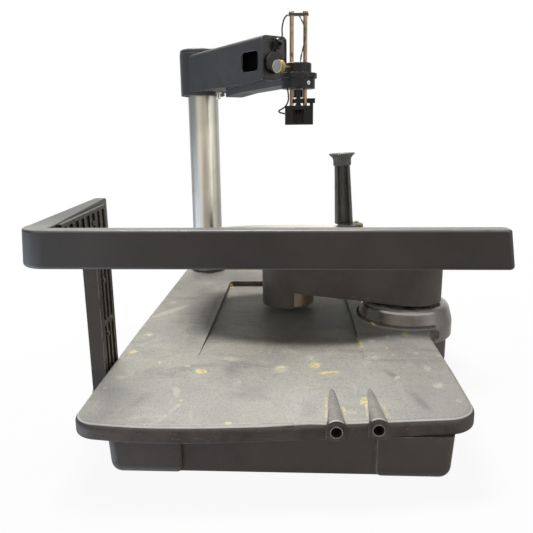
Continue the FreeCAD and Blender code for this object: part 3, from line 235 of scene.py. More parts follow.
class Mat:
    def __init__(self, name):
        self.m = bpy.data.materials.new(name)
        self.m.use_nodes = True
        self.t = self.m.node_tree
        self.t.nodes.clear()
        self.out = self.new("ShaderNodeOutputMaterial")
        self.b = self.new("ShaderNodeBsdfPrincipled")
        self.link(self.b.outputs[0], self.out.inputs[0])
        self.co = self.new("ShaderNodeTexCoord").outputs["Object"]
        self.geo = None

    def new(self, kind):
        return self.t.nodes.new(kind)

    def link(self, a, b):
        self.t.links.new(a, b)

    def put(self, socket, v):
        if isinstance(v, bpy.types.NodeSocket):
            self.link(v, socket)
        else:
            socket.default_value = v

    def math(self, op, a, b=0.0, c=None, clamp=False):
        n = self.new("ShaderNodeMath")
        n.operation = op
        n.use_clamp = clamp
        self.put(n.inputs[0], a)
        self.put(n.inputs[1], b)
        if c is not None:
            self.put(n.inputs[2], c)
        return n.outputs[0]

    def vmap(self, scale=(1, 1, 1), rot=(0, 0, 0), loc=(0, 0, 0), vec=None):
        n = self.new("ShaderNodeMapping")
        self.link(vec or self.co, n.inputs["Vector"])
        n.inputs["Scale"].default_value = scale
        n.inputs["Rotation"].default_value = rot
        n.inputs["Location"].default_value = loc
        return n.outputs[0]

    def noise(self, scale, detail=4.0, rough=0.55, dist=0.0, vec=None, off=0.0):
        n = self.new("ShaderNodeTexNoise")
        n.noise_dimensions = "3D"
        v = vec or self.co
        if off:
            v = self.vmap(loc=(off, off * 1.7, off * 0.6), vec=v)
        self.link(v, n.inputs["Vector"])
        n.inputs["Scale"].default_value = scale
        n.inputs["Detail"].default_value = detail
        n.inputs["Roughness"].default_value = rough
        n.inputs["Distortion"].default_value = dist
        return n.outputs[0]

    def voronoi(self, scale, vec=None, feature="F1"):
        n = self.new("ShaderNodeTexVoronoi")
        n.feature = feature
        self.link(vec or self.co, n.inputs["Vector"])
        n.inputs["Scale"].default_value = scale
        return n.outputs["Distance"]

    def step(self, v, lo, hi):
        """smooth step of v from lo to hi"""
        n = self.new("ShaderNodeMapRange")
        n.interpolation_type = "SMOOTHSTEP"
        self.put(n.inputs["Value"], v)
        n.inputs["From Min"].default_value = lo
        n.inputs["From Max"].default_value = hi
        n.inputs["To Min"].default_value = 0.0
        n.inputs["To Max"].default_value = 1.0
        return n.outputs[0]

    def span(self, v, lo, hi, a, b):
        n = self.new("ShaderNodeMapRange")
        self.put(n.inputs["Value"], v)
        n.inputs["From Min"].default_value = lo
        n.inputs["From Max"].default_value = hi
        n.inputs["To Min"].default_value = a
        n.inputs["To Max"].default_value = b
        return n.outputs[0]

    def mix(self, f, a, b, kind="MIX"):
        n = self.new("ShaderNodeMix")
        n.data_type = "RGBA"
        n.blend_type = kind
        self.put(n.inputs[0], f)
        self.put(n.inputs[6], a)
        self.put(n.inputs[7], b)
        return n.outputs[2]

    def xyz(self, vec=None):
        n = self.new("ShaderNodeSeparateXYZ")
        self.link(vec or self.co, n.inputs[0])
        return n.outputs

    def normal(self):
        if self.geo is None:
            self.geo = self.new("ShaderNodeNewGeometry")
        return self.geo.outputs["Normal"]

    def bevel(self, r, samples=4):
        n = self.new("ShaderNodeBevel")
        n.samples = samples
        n.inputs["Radius"].default_value = r
        return n.outputs[0]

    def edge(self, r, samples=6):
        """1 on sharp edges, 0 on flats"""
        bv = self.bevel(r, samples)
        n = self.new("ShaderNodeVectorMath")
        n.operation = "DOT_PRODUCT"
        self.link(bv, n.inputs[0])
        self.link(self.normal(), n.inputs[1])
        return self.step(self.math("SUBTRACT", 1.0, n.outputs["Value"]), 0.012, 0.14)

    def bump(self, height, strength, distance, normal=None):
        n = self.new("ShaderNodeBump")
        n.inputs["Strength"].default_value = strength
        n.inputs["Distance"].default_value = distance
        self.link(height, n.inputs["Height"])
        if normal is not None:
            self.link(normal, n.inputs["Normal"])
        return n.outputs[0]

    def near(self, x, y, z, rx, ry, rz, turn=0.0, outer=1.0, inner=0.0):
        """1 at the point, 0 beyond the ellipsoid; all in the drawing's millimetres"""
        m = self.new("ShaderNodeMapping")
        m.vector_type = "TEXTURE"
        self.link(self.co, m.inputs["Vector"])
        m.inputs["Location"].default_value = P(x, y, z)
        m.inputs["Rotation"].default_value = (0, 0, turn)
        m.inputs["Scale"].default_value = (rx / 1000, ry / 1000, rz / 1000)
        v = m.outputs[0]
        n = self.new("ShaderNodeVectorMath")
        n.operation = "LENGTH"
        self.link(v, n.inputs[0])
        return self.step(n.outputs["Value"], outer, inner)

    def add(self, a, b):
        return self.math("ADD", a, b, clamp=True)

    def mul(self, a, b):
        return self.math("MULTIPLY", a, b)


def coated(name, dark, light, rough=0.5, rvar=0.12, big=9.0, grain=1500.0, grain_b=0.25, bevel=0.0006, edge_wear_and_highlight=None, edge_amt=0.0, edge_r=0.0012, dust=None, dust_amt=0.0, dust_rear=1.0, spec=0.5, metallic=0.0, coat=0.0, smudge=0.0, speck=0.0):
    """moulded plastic or paint: two tones, fine grain, soft edges, pale edges that are worn paint and on some parts a
    painted highlight, dust where it faces up
    """
    k = Mat(name)
    n1 = k.noise(big, 5, 0.6, 0.3)
    n2 = k.noise(big * 9, 5, 0.6, 0.0, off=3.1)
    col = k.mix(k.step(n1, 0.32, 0.68), dark, light)
    sp = k.step(k.noise(big * 26, 3, 0.5, off=1.3), 0.66, 0.78)
    col = k.mix(k.mul(sp, 0.18), col, (light[0] * 1.9, light[1] * 1.9, light[2] * 1.9, 1))
    if smudge:
        s = k.step(k.noise(big * 2.2, 6, 0.7, 1.2, off=7.7), 0.52, 0.74)
        col = k.mix(k.mul(s, smudge), col, (light[0] * 2.2, light[1] * 2.1, light[2] * 2.0, 1))
    if speck:
        s = k.step(k.noise(big * 60, 3, 0.6, off=8.8), 0.56, 0.70)
        col = k.mix(k.mul(s, speck), col, (light[0] * 1.7, light[1] * 1.65, light[2] * 1.55, 1))
    if dust is not None:
        nz = k.xyz(k.normal())[2]
        f = k.mul(k.step(nz, 0.55, 0.97), k.span(n2, 0.3, 0.7, dust_amt * 0.6, dust_amt))
        if dust_rear != 1.0:
            f = k.mul(f, k.span(k.step(k.xyz()[1], -0.285, -0.225), 0, 1, 1.0, dust_rear))
        col = k.mix(f, col, dust)
    # pale colour on sharp edges: worn paint, and on the turret, guard bar, arm paint and ferrule a painted highlight
    if edge_wear_and_highlight is not None:
        e = k.mul(k.edge(edge_r), k.step(k.noise(big * 14, 4, 0.65, off=5.5), 0.62 - edge_amt * 0.4, 0.80 - edge_amt * 0.4))
        col = k.mix(e, col, edge_wear_and_highlight)
    k.link(col, k.b.inputs["Base Color"])
    k.put(k.b.inputs["Roughness"], k.span(n2, 0.25, 0.75, max(0.03, rough - rvar), min(1.0, rough + rvar)))
    k.b.inputs["Metallic"].default_value = metallic
    k.b.inputs["Specular IOR Level"].default_value = spec
    if coat:
        k.b.inputs["Coat Weight"].default_value = coat
        k.b.inputs["Coat Roughness"].default_value = 0.12
    g = k.noise(grain, 3, 0.6)
    k.link(k.bump(g, grain_b, 0.00025, k.bevel(bevel)), k.b.inputs["Normal"])
    return k.m


def metal(name, dark, light, rough=0.3, rvar=0.08, streak=(260, 260, 4), streak_amt=0.5, bevel=0.0004, tarnish=None, tarnish_amt=0.0, scale=18.0):
    """bare metal with brushing along one way and tarnish in patches"""
    k = Mat(name)
    s = k.noise(1.0, 4, 0.6, vec=k.vmap(scale=streak))
    n1 = k.noise(scale, 5, 0.6, 0.4)
    f = k.add(k.mul(s, streak_amt), k.mul(n1, 1 - streak_amt))
    col = k.mix(k.step(f, 0.36, 0.62), dark, light)
    if tarnish is not None:
        t = k.step(k.noise(scale * 3.0, 6, 0.7, 0.8, off=2.2), 0.62 - 0.3 * tarnish_amt, 0.78 - 0.3 * tarnish_amt)
        col = k.mix(t, col, tarnish)
    k.link(col, k.b.inputs["Base Color"])
    k.put(k.b.inputs["Roughness"], k.span(f, 0.3, 0.7, rough + rvar, rough - rvar))
    k.b.inputs["Metallic"].default_value = 1.0
    k.link(k.bump(s, 0.12, 0.0001, k.bevel(bevel)), k.b.inputs["Normal"])
    return k.m


# --- deck: dark moulded foam plastic under a pale film of dried salt ---------
# kind (Y yellow crust, P pale crust, D thin film; the long D mark beside the recess's left wall is painted shade), x,
# y, z, long half, short half, turn, strength; the drawing's millimetres
MARKS = [
    ("Y", -90.6, 469.5, 50.4, 9.9, 5.8, 1.73, 1.00), ("Y", -86.6, 408.8, 51.0, 8.2, 3.9, 1.71, 0.60), ("Y", -62.7, 419.9, 50.6, 5.6, 4.7, 1.83, 0.50),
    ("Y", -168.2, 164.7, 58.0, 6.7, 5.5, -2.55, 0.90), ("Y", -179.0, 149.3, 57.0, 6.5, 2.6, 1.92, 0.80), ("Y", -130.4, 135.8, 58.0, 3.7, 2.1, 1.91, 0.90),
    ("P", -98.7, 126.9, 58.0, 3.9, 3.1, 2.89, 0.90), ("Y", -82.1, 112.8, 58.0, 7.6, 5.8, 2.48, 1.20), ("P", -162.1, 95.6, 58.0, 8.5, 6.4, 2.35, 0.70),
    ("Y", -169.5, 71.1, 58.0, 3.5, 2.6, 2.38, 0.60), ("P", -98.3, 65.0, 58.0, 12.5, 4.8, 1.88, 0.80), ("Y", -89.4, 47.9, 58.0, 4.1, 2.7, 1.90, 0.60),
    ("P", -91.9, 34.1, 58.0, 8.9, 3.6, 1.23, 0.80), ("Y", -41.0, 5.6, 58.0, 4.4, 4.0, 2.69, 0.80), ("P", -122.8, 15.1, 58.0, 8.0, 6.3, 2.44, 0.60),
    ("P", -100.5, 11.7, 58.0, 12.3, 3.0, 1.24, 0.70), ("P", -165.2, 222.3, 58.0, 9.6, 7.6, 2.51, 0.70), ("Y", -163.4, 218.8, 58.0, 5.2, 4.0, 2.76, 0.50),
    ("P", -164.5, 355.6, 58.0, 12.1, 8.4, 1.11, 0.70), ("P", -156.9, 315.4, 58.0, 34.7, 6.4, 0.97, 1.20), ("P", -123.7, 265.2, 58.0, 39.2, 18.8, 1.53, 0.50),
    ("Y", -119.7, 257.5, 58.0, 18.0, 8.9, 1.47, 0.35), ("P", -55.4, 146.6, 58.0, 10.0, 8.2, 2.97, 0.70), ("P", 1.6, 123.0, 58.0, 11.7, 9.4, 1.59, 0.90),
    ("Y", 1.6, 125.1, 58.0, 6.2, 5.3, 1.59, 0.80), ("P", -41.7, 83.7, 58.0, 22.0, 6.9, 1.68, 0.50), ("P", -131.4, 468.7, 58.0, 24.3, 20.9, 2.62, 0.50),
    ("Y", 37.0, 132.6, 58.0, 7.4, 6.3, 1.37, 1.30), ("P", 34.4, 154.5, 58.0, 19.4, 15.3, 1.45, 0.60), ("Y", 33.2, 150.2, 58.0, 5.7, 5.4, 0.98, 0.60),
    ("Y", 51.8, 114.2, 58.0, 11.5, 3.4, -2.97, 1.00), ("Y", 43.4, 110.9, 58.0, 4.2, 3.9, -2.61, 0.70), ("P", 58.8, 175.7, 58.0, 17.8, 11.2, 1.45, 0.55),
    ("P", 10.0, 174.5, 58.0, 14.8, 13.6, 1.50, 0.50), ("Y", 91.5, 200.9, 54.5, 31.6, 2.5, 1.60, 0.90), ("P", 92.0, 142.1, 58.0, 18.7, 8.4, 1.41, 0.60),
    ("Y", 149.9, 229.8, 58.0, 8.6, 4.6, 1.41, 1.20), ("Y", 176.7, 246.1, 58.5, 4.6, 2.2, -2.82, 0.80), ("Y", 116.4, 262.5, 58.5, 7.9, 4.6, 2.11, 0.80),
    ("P", 126.9, 219.8, 58.0, 4.9, 3.5, 1.23, 0.90), ("P", 105.6, 204.2, 58.0, 6.1, 5.0, 1.10, 0.90), ("Y", 120.2, 182.3, 58.0, 3.4, 2.0, 1.33, 0.80),
    ("Y", 123.7, 163.9, 58.0, 3.7, 3.1, 0.88, 0.60), ("P", 105.1, 154.9, 58.0, 5.8, 4.6, 1.13, 0.80), ("P", 118.0, 103.3, 58.0, 5.4, 3.3, 1.28, 0.90),
    ("P", 153.9, 127.0, 58.0, 7.0, 4.3, 1.18, 0.90), ("P", 154.9, 85.1, 58.0, 7.2, 5.3, 0.96, 0.90), ("P", 150.1, 168.1, 58.0, 5.6, 4.1, 1.04, 0.70),
    ("P", 166.6, 55.5, 58.0, 6.3, 3.4, 1.17, 0.60), ("P", 174.0, 161.4, 58.0, 6.4, 4.8, 0.81, 0.60), ("P", 130.1, 129.7, 58.0, 8.0, 5.0, 1.25, 0.50),
    ("Y", 78.2, 49.9, 58.0, 9.9, 3.6, 1.43, 0.90), ("Y", 44.0, 40.9, 58.0, 28.3, 1.2, 1.52, 0.95), ("Y", 59.6, 30.7, 58.0, 13.9, 1.3, 1.66, 0.90),
    ("Y", 80.3, 42.0, 58.0, 26.3, 1.2, 1.48, 0.85), ("Y", 96.4, 32.2, 58.0, 15.5, 1.3, 1.66, 0.70), ("P", 11.5, 22.3, 58.0, 7.2, 7.0, 1.13, 0.60),
    ("P", 65.9, 25.8, 58.0, 12.6, 7.8, 1.40, 0.50), ("D", 113.7, 111.6, 58.0, 17.9, 5.5, 1.92, 1.00), ("D", 131.0, 50.4, 58.0, 25.7, 5.6, 1.80, 0.70),
    ("D", -50.0, 117.3, 58.0, 19.9, 9.4, 1.70, 0.60), ("D", -99.0, 344.3, 58.0, 99.2, 6.0, 1.58, 0.60), ("D", -109.9, 203.6, 58.0, 36.2, 14.3, 1.43, 0.40),
    ("D", -134.8, 109.9, 58.0, 29.7, 17.5, 1.23, 0.50), ("D", -27.1, 66.4, 58.0, 24.9, 15.6, -2.55, 0.45), ("D", -128.4, 46.8, 58.0, 24.8, 7.8, 1.17, 0.45),
    ("D", 137.1, 193.0, 58.0, 35.4, 19.0, 1.68, 0.40), ("D", -124.2, 418.9, 58.0, 36.0, 13.9, 1.74, 0.50),
]


def deck_material():
    k = Mat("deck_film")
    x, y, z = k.xyz()
    nz = k.xyz(k.normal())[2]
    n1 = k.noise(7, 6, 0.62, 0.5)
    n2 = k.noise(42, 6, 0.65, 0.2, off=2.0)
    n3 = k.noise(210, 5, 0.6, 0.0, off=4.0)
    n4 = k.noise(620, 3, 0.6, 0.0, off=5.0)
    body = k.mix(k.step(n2, 0.35, 0.65), lin(53, 48, 45), lin(74, 68, 63))
    film = k.mix(k.step(n1, 0.3, 0.7), lin(150, 149, 143), lin(174, 172, 164))
    film = k.mix(k.mul(k.step(n2, 0.42, 0.66), 0.40), film, lin(188, 183, 164))
    film = k.mix(k.mul(k.step(n3, 0.50, 0.72), 0.38), film, lin(112, 110, 104))
    drag = k.noise(1.0, 5, 0.6, 0.6, vec=k.vmap(scale=(16, 60, 40), rot=(0, 0, 0.5)))
    film = k.mix(k.mul(k.step(drag, 0.56, 0.72), 0.30), film, lin(200, 198, 189))
    dark = k.noise(1.0, 5, 0.6, 0.8, vec=k.vmap(scale=(9, 30, 40), rot=(0, 0, 0.35), loc=(0.3, 0.1, 0)))
    film = k.mix(k.mul(k.step(dark, 0.52, 0.68), 0.45), film, lin(104, 103, 100))
    # wiped swirls
    swirl = k.noise(1.0, 6, 0.7, 2.6, vec=k.vmap(scale=(22, 9, 30), rot=(0, 0, -0.6), loc=(0.7, 0.2, 0)))
    film = k.mix(k.mul(k.step(swirl, 0.56, 0.66), 0.30), film, lin(206, 203, 192))
    # painted light: the film is brighter towards the front edge, where the light falls strongest
    film = k.mix(k.mul(k.step(y, -0.17, -0.27), 0.32), film, lin(206, 205, 199))
    # fine speckle, light and dark
    film = k.mix(k.mul(k.step(n4, 0.54, 0.66), 0.36), film, lin(214, 210, 194))
    film = k.mix(k.mul(k.step(n4, 0.46, 0.34), 0.46), film, lin(92, 89, 84))
    # the film is darker towards the right side
    film = k.mix(k.mul(k.step(x, 0.085, 0.125), k.span(n2, 0.3, 0.7, 0.18, 0.46)), film, lin(112, 112, 111))
    # thinner places in the film, and painted shade of the groove edge along the recess's left wall
    thin_film_and_wall_shade = None
    for kind, *spot in MARKS:
        if kind == "D":
            f = k.mul(k.near(spot[0], spot[1], spot[2], spot[3] * 1.3, spot[4] * 1.3, 12, spot[5]), spot[6] * 0.55)
            thin_film_and_wall_shade = f if thin_film_and_wall_shade is None else k.add(thin_film_and_wall_shade, f)
    film = k.mix(k.mul(thin_film_and_wall_shade, k.span(n2, 0.3, 0.7, 0.5, 1.3)), film, lin(66, 65, 62))
    # the film only covers faces that look up, so not the walls of the recess
    cover = k.step(nz, 0.62, 0.84)
    # painted shade: the film thins towards the rear half, where less light falls
    cover = k.mul(cover, k.span(k.step(y, -0.02, 0.22), 0, 1, 1.0, 0.75))
    # less film in a patch behind the recess
    cover = k.mul(cover, k.span(k.mul(k.step(y, 0.165, 0.185), k.step(x, -0.120, -0.095)), 0, 1, 1.0, 0.60))
    # painted shadow: the film is thinned in an oval under the rack plate, where the plate casts its shadow on the deck
    plate_shadow_paint = k.near(14.0, 300.0, 54.0, 78.0, 112.0, 60.0, 0.0, 1.30, 0.30)
    cover = k.mul(cover, k.span(plate_shadow_paint, 0, 1, 1.0, 0.44))
    # bare fairings over the two drain outlets
    nose = nose_lip_highlight = None
    for sx, fy in ((51.0, 5.2), (87.3, 9.8)):
        start = P(sx, fy, 0)
        hump = k.step(k.math("ABSOLUTE", k.math("SUBTRACT", x, start.x)), 0.0116, 0.0100)
        tall = k.mul(hump, k.mul(k.step(y, -0.208, -0.214), k.step(z, 0.05804, 0.0583)))
        # painted highlight: a white band along the top front edge of each fairing nose
        front = k.mul(k.mul(hump, k.step(y, start.y + 0.0017, start.y + 0.0010)), k.mul(k.step(z, 0.0592, 0.0602), k.step(nz, 0.35, 0.62)))
        nose = tall if nose is None else k.add(nose, tall)
        nose_lip_highlight = front if nose_lip_highlight is None else k.add(nose_lip_highlight, front)
    cover = k.mul(cover, k.span(nose, 0, 1, 1.0, 0.60))
    col = k.mix(cover, body, film)
    bare = k.math("SUBTRACT", 1.0, nose, clamp=True)
    # crusts of salt where puddles dried
    cn = k.noise(150, 9, 0.82, 1.2, off=9.0)
    for want, tone, body_amt, grow in (("P", (lin(190, 188, 176), lin(214, 211, 196)), 0.62, 1.8), ("Y", (lin(204, 188, 124), lin(232, 220, 168)), 0.92, 1.7)):
        crust = None
        for kind, *spot in MARKS:
            if kind == want:
                f = k.mul(k.near(spot[0], spot[1], spot[2], spot[3] * grow, spot[4] * grow, 12, spot[5]), spot[6])
                crust = f if crust is None else k.add(crust, f)
        cm = k.mul(k.step(k.math("ADD", k.mul(cn, 2.2), k.mul(crust, 0.85)), 1.42, 1.68), k.step(crust, 0.02, 0.22))
        cm = k.mul(cm, k.mul(bare, k.step(z, 0.0625, 0.0595)))
        col = k.mix(k.mul(cm, body_amt), col, k.mix(k.step(n3, 0.4, 0.6), *tone))
    few = k.mul(k.mul(k.step(k.noise(170, 4, 0.6, off=12.0), 0.69, 0.75), k.step(nz, 0.8, 0.98)), bare)
    col = k.mix(k.mul(few, 0.5), col, lin(212, 204, 170))
    # painted highlight: a whiter line along the rounded front rim where it catches the light, broken up by noise; the
    # nose lips get the same painted highlight
    rim = k.mul(k.mul(k.step(nz, 0.66, 0.76), k.step(nz, 0.92, 0.84)), k.step(z, 0.0535, 0.056))
    rim = k.mul(k.mul(k.mul(rim, k.step(y, -0.235, -0.268)), bare), k.span(k.noise(60, 3, 0.5, off=8.0), 0.35, 0.65, 0.80, 1.0))
    col = k.mix(k.mul(k.add(rim, nose_lip_highlight), 0.9), col, lin(240, 239, 234))
    # scuffs on the front face
    scuff = k.mul(k.step(k.noise(1.0, 5, 0.75, 0.4, vec=k.vmap(scale=(90, 90, 620))), 0.60, 0.68), k.step(nz, 0.4, 0.1))
    col = k.mix(k.mul(scuff, 0.55), col, lin(150, 144, 136))
    k.link(col, k.b.inputs["Base Color"])
    k.put(k.b.inputs["Roughness"], k.span(k.add(k.mul(n2, 0.5), k.mul(n3, 0.5)), 0.3, 0.7, 0.40, 0.64))
    k.b.inputs["Specular IOR Level"].default_value = 0.45
    h = k.noise(900, 3, 0.6)
    k.link(k.bump(h, 0.30, 0.0004, k.bevel(0.0008)), k.b.inputs["Normal"])
    return k.m


def thumb_material():
    """dulled silver face, gold-coloured knurled rim and stem"""
    k = Mat("thumb_screw_metal")
    axis = Vector((0.67, 0.742, 0.0)).normalized()
    face = P(19.5, 358.0, 380.4) - axis * 0.0405
    rel = k.vmap(loc=(-face.x, -face.y, -face.z))
    def dot(v):
        n = k.new("ShaderNodeVectorMath")
        n.operation = "DOT_PRODUCT"
        k.link(rel, n.inputs[0])
        n.inputs[1].default_value = v
        return n.outputs["Value"]
    along, across, upward = dot(axis), dot((axis.y, -axis.x, 0.0)), dot((0, 0, 1))
    radius = k.math("SQRT", k.math("ADD", k.mul(across, across), k.mul(upward, upward)))
    disc = k.mul(k.step(along, 0.0010, 0.0005), k.step(radius, 0.0079, 0.0074))
    turning = k.noise(1.0, 3, 0.6, vec=k.vmap(scale=(900, 900, 60)))
    gold = k.mix(k.step(k.noise(160, 5, 0.6), 0.35, 0.65), lin(150, 122, 76), lin(206, 180, 128))
    silver = k.mix(k.step(turning, 0.3, 0.7), lin(168, 164, 158), lin(206, 203, 198))
    k.link(k.mix(disc, gold, silver), k.b.inputs["Base Color"])
    k.b.inputs["Metallic"].default_value = 0.85
    k.put(k.b.inputs["Roughness"], k.span(turning, 0.3, 0.7, 0.38, 0.28))
    teeth = k.math("SINE", k.mul(k.math("ARCTAN2", across, upward), 44.0))
    rim = k.mul(k.step(radius, 0.0070, 0.0078), k.step(along, 0.0078, 0.0070))
    k.link(k.bump(k.mul(teeth, rim), 0.6, 0.0003, k.bevel(0.0005)), k.b.inputs["Normal"])
    return k.m


MAT = {}
MAT["deck"] = deck_material()
MAT["housing"] = coated("housing_plastic", lin(52, 48, 45), lin(68, 63, 60), rough=0.5, grain_b=0.35, bevel=0.0012, edge_wear_and_highlight=lin(134, 130, 124), edge_amt=0.3, edge_r=0.0012, smudge=0.14, speck=0.3)
MAT["arm"] = coated("arm_plastic", lin(64, 60, 56), lin(84, 78, 74), rough=0.44, grain_b=0.25, bevel=0.0010, edge_wear_and_highlight=lin(150, 146, 140), edge_amt=0.2, dust=lin(120, 118, 112), dust_amt=0.35, smudge=0.10, spec=0.4)
# the near-white edge colour is a painted highlight along the turret's rounded top rim
MAT["turret"] = coated("turret_plastic", lin(58, 53, 50), lin(80, 73, 70), rough=0.26, grain_b=0.2, bevel=0.0010, edge_wear_and_highlight=lin(224, 219, 208), edge_amt=0.8, edge_r=0.0022, dust=lin(190, 186, 176), dust_amt=0.6, smudge=0.12, speck=0.25, spec=0.9, coat=0.9)
# the pale edge colour is worn paint and a painted highlight on the arm's corners
MAT["paint"] = coated("arm_paint", lin(52, 52, 54), lin(69, 69, 71), rough=0.40, grain=1100, grain_b=0.4, bevel=0.0006, edge_wear_and_highlight=lin(172, 172, 172), edge_amt=0.55, edge_r=0.0009, dust=lin(96, 96, 96), dust_amt=0.5, smudge=0.08)
MAT["ring"] = coated("ring_paint", lin(20, 20, 22), lin(33, 33, 35), rough=0.36, grain=1100, grain_b=0.3, bevel=0.0006, edge_wear_and_highlight=lin(150, 150, 150), edge_amt=0.5, edge_r=0.0007, dust=lin(84, 84, 84), dust_amt=0.4, smudge=0.05, spec=0.3)
# the near-white edge colour is worn paint and a painted highlight along the bar's top edge
MAT["guard"] = coated("guard_paint", lin(43, 41, 41), lin(56, 53, 53), rough=0.31, grain=1000, grain_b=0.3, bevel=0.0008, edge_wear_and_highlight=lin(214, 212, 206), edge_amt=0.62, edge_r=0.0010, dust=lin(156, 155, 150), dust_amt=0.80, dust_rear=0.22, smudge=0.03, spec=0.55, rvar=0.04)
MAT["rib"] = coated("guard_post_paint", lin(38, 34, 31), lin(56, 51, 46), rough=0.46, grain=1000, grain_b=0.3, bevel=0.0005, edge_wear_and_highlight=lin(190, 184, 168), edge_amt=0.8, edge_r=0.0010, smudge=0.2)
MAT["post"] = coated("handle_plastic", lin(72, 71, 71), lin(95, 94, 94), rough=0.38, grain_b=0.3, bevel=0.0007, edge_wear_and_highlight=lin(140, 138, 134), edge_amt=0.25, dust=lin(110, 110, 108), dust_amt=0.5, smudge=0.12)
MAT["plate"] = coated("plate_cream", lin(196, 194, 172), lin(222, 220, 200), rough=0.5, grain_b=0.15, bevel=0.0006, edge_wear_and_highlight=lin(236, 233, 212), edge_amt=0.2, dust=lin(214, 212, 196), dust_amt=0.4, smudge=0.0)
MAT["gloss"] = coated("gloss_black", lin(14, 14, 15), lin(24, 24, 26), rough=0.24, rvar=0.06, grain_b=0.08, bevel=0.0004, spec=0.4, smudge=0.05)
MAT["sensor"] = coated("sensor_black", lin(15, 15, 17), lin(25, 25, 28), rough=0.34, rvar=0.08, grain_b=0.2, bevel=0.0005, edge_wear_and_highlight=lin(104, 104, 106), edge_amt=0.45, edge_r=0.0006, spec=0.3, smudge=0.05)
MAT["rubber"] = coated("rubber_black", lin(20, 20, 20), lin(30, 30, 30), rough=0.8, rvar=0.08, grain_b=0.4, bevel=0.0004)
MAT["column"] = metal("brushed_column", lin(188, 187, 182), lin(212, 210, 204), rough=0.29, rvar=0.008, streak=(300, 300, 2.5), streak_amt=0.35, tarnish=lin(186, 178, 164), tarnish_amt=0.04, scale=9)
MAT["steel"] = metal("satin_steel", lin(150, 150, 148), lin(190, 189, 186), rough=0.34)
MAT["bright"] = metal("bright_steel", lin(206, 203, 198), lin(232, 228, 220), rough=0.22)
MAT["bronze"] = metal("rod_bronze", lin(126, 106, 88), lin(172, 152, 130), rough=0.30, streak=(900, 900, 8), streak_amt=0.6, tarnish=lin(98, 74, 56), tarnish_amt=0.25, scale=50)
MAT["brass"] = metal("dulled_brass", lin(176, 146, 92), lin(208, 182, 128), rough=0.3, tarnish=lin(120, 92, 54), tarnish_amt=0.35, scale=60)
MAT["thumb"] = thumb_material()
MAT["can"] = coated("motor_can", lin(140, 124, 110), lin(176, 160, 144), rough=0.36, grain=500, grain_b=0.3, bevel=0.0006, edge_wear_and_highlight=lin(232, 226, 212), edge_amt=0.3, metallic=0.75, smudge=0.0, speck=0.4)
MAT["nylon"] = coated("gear_nylon", lin(198, 194, 178), lin(216, 212, 198), rough=0.42, grain_b=0.1, bevel=0.0003)
MAT["board"] = coated("board_green", lin(26, 78, 44), lin(34, 96, 56), rough=0.35, grain_b=0.1, bevel=0.0003)
MAT["lead"] = coated("lead_black", lin(18, 18, 18), lin(28, 28, 28), rough=0.42, grain_b=0.15, bevel=0.0002)
MAT["lead_green"] = coated("lead_green", lin(66, 92, 50), lin(84, 112, 62), rough=0.42, grain_b=0.15, bevel=0.0002)
# the pale edge colour is a painted highlight on the ferrule's rims
MAT["ferrule"] = coated("ferrule_grey", lin(84, 83, 84), lin(112, 110, 110), rough=0.28, grain_b=0.15, bevel=0.0004, edge_wear_and_highlight=lin(206, 203, 196), edge_amt=0.9, edge_r=0.0005, metallic=0.6, smudge=0.1)

USE = {
    "deck": "deck", "base_tray": "housing", "shoulder_housing": "turret", "drain_ferrules": "ferrule", "rubber_feet": "rubber", "base_screws": "steel",
    "power_inlet": "gloss", "power_rocker": "gloss", "signal_sockets": "steel", "power_supply": "steel", "control_board": "board", "shoulder_motor": "steel",
    "bearing_tube": "steel", "shoulder_bearings": "bright", "column": "column", "column_collar": "paint", "column_socket": "steel", "guard_bar": "guard",
    "guard_post": "rib", "guard_bracket": "guard", "guard_screws": "steel", "shoulder_pinion": "bright", "shoulder_spindle": "bright", "shoulder_gear": "nylon",
    "arm_base": "arm", "arm_cover": "arm", "arm_screws": "steel", "elbow_skirt": "arm", "elbow_motor": "can", "elbow_bearing": "bright",
    "carrier_shaft": "bright", "carrier_hub": "arm", "carrier_plate": "plate", "carrier_screws": "steel", "post_foot": "post", "handle_post": "post", "post_cap": "post", "post_screws": "brass",
    "height_sleeve": "steel", "arm_shell": "paint", "knuckle_cap": "paint", "end_collar": "gloss", "cable_gland": "gloss", "tube_beam": "paint", "head_ring": "ring", "head_flange": "ring", "head_cap": "ring", "grub_screw": "bright",
    "gland_lead": "lead", "sensor_lead": "lead", "signal_pair": "lead_green", "thumb_screw": "thumb", "clamp_screw": "bright", "guide_rods": "bronze", "crossbar": "paint", "crossbar_screws": "bronze",
    "sensor_block": "sensor", "tube_nut": "gloss", "drop_tube": "sensor", "tube_clip": "sensor",
}
for n, o in NODES.items():
    o.data.materials.clear()
    o.data.materials.append(MAT[USE[n]])


# ---------------------------------------------------------------------------
# leads
# ---------------------------------------------------------------------------
def spline_points(name, pts):
    """points along the route's own smooth curve"""
    cu = bpy.data.curves.new(name + "_route", "CURVE")
    cu.dimensions = "3D"
    cu.resolution_u = 12
    sp = cu.splines.new("NURBS")
    sp.points.add(len(pts) - 1)
    for p, q in zip(sp.points, pts):
        v = P(*q)
        p.co = (v.x, v.y, v.z, 1.0)
    sp.order_u = 3
    sp.use_endpoint_u = True
    ob = bpy.data.objects.new(name + "_route", cu)
    SC.collection.objects.link(ob)
    bpy.context.view_layer.update()
    me = bpy.data.meshes.new_from_object(ob)
    out = [v.co.copy() for v in me.vertices]
    bpy.data.objects.remove(ob)
    bpy.data.meshes.remove(me)
    bpy.data.curves.remove(cu)
    return out


def frames(path):
    """tangent and two normals along a path, without twist"""
    out = []
    t0 = (path[1] - path[0]).normalized()
    n = t0.orthogonal().normalized()
    for i in range(len(path)):
        a = path[max(i - 1, 0)]
        b = path[min(i + 1, len(path) - 1)]
        t = (b - a).normalized()
        n = (n - t * n.dot(t)).normalized()
        out.append((t, n, t.cross(n)))
    return out


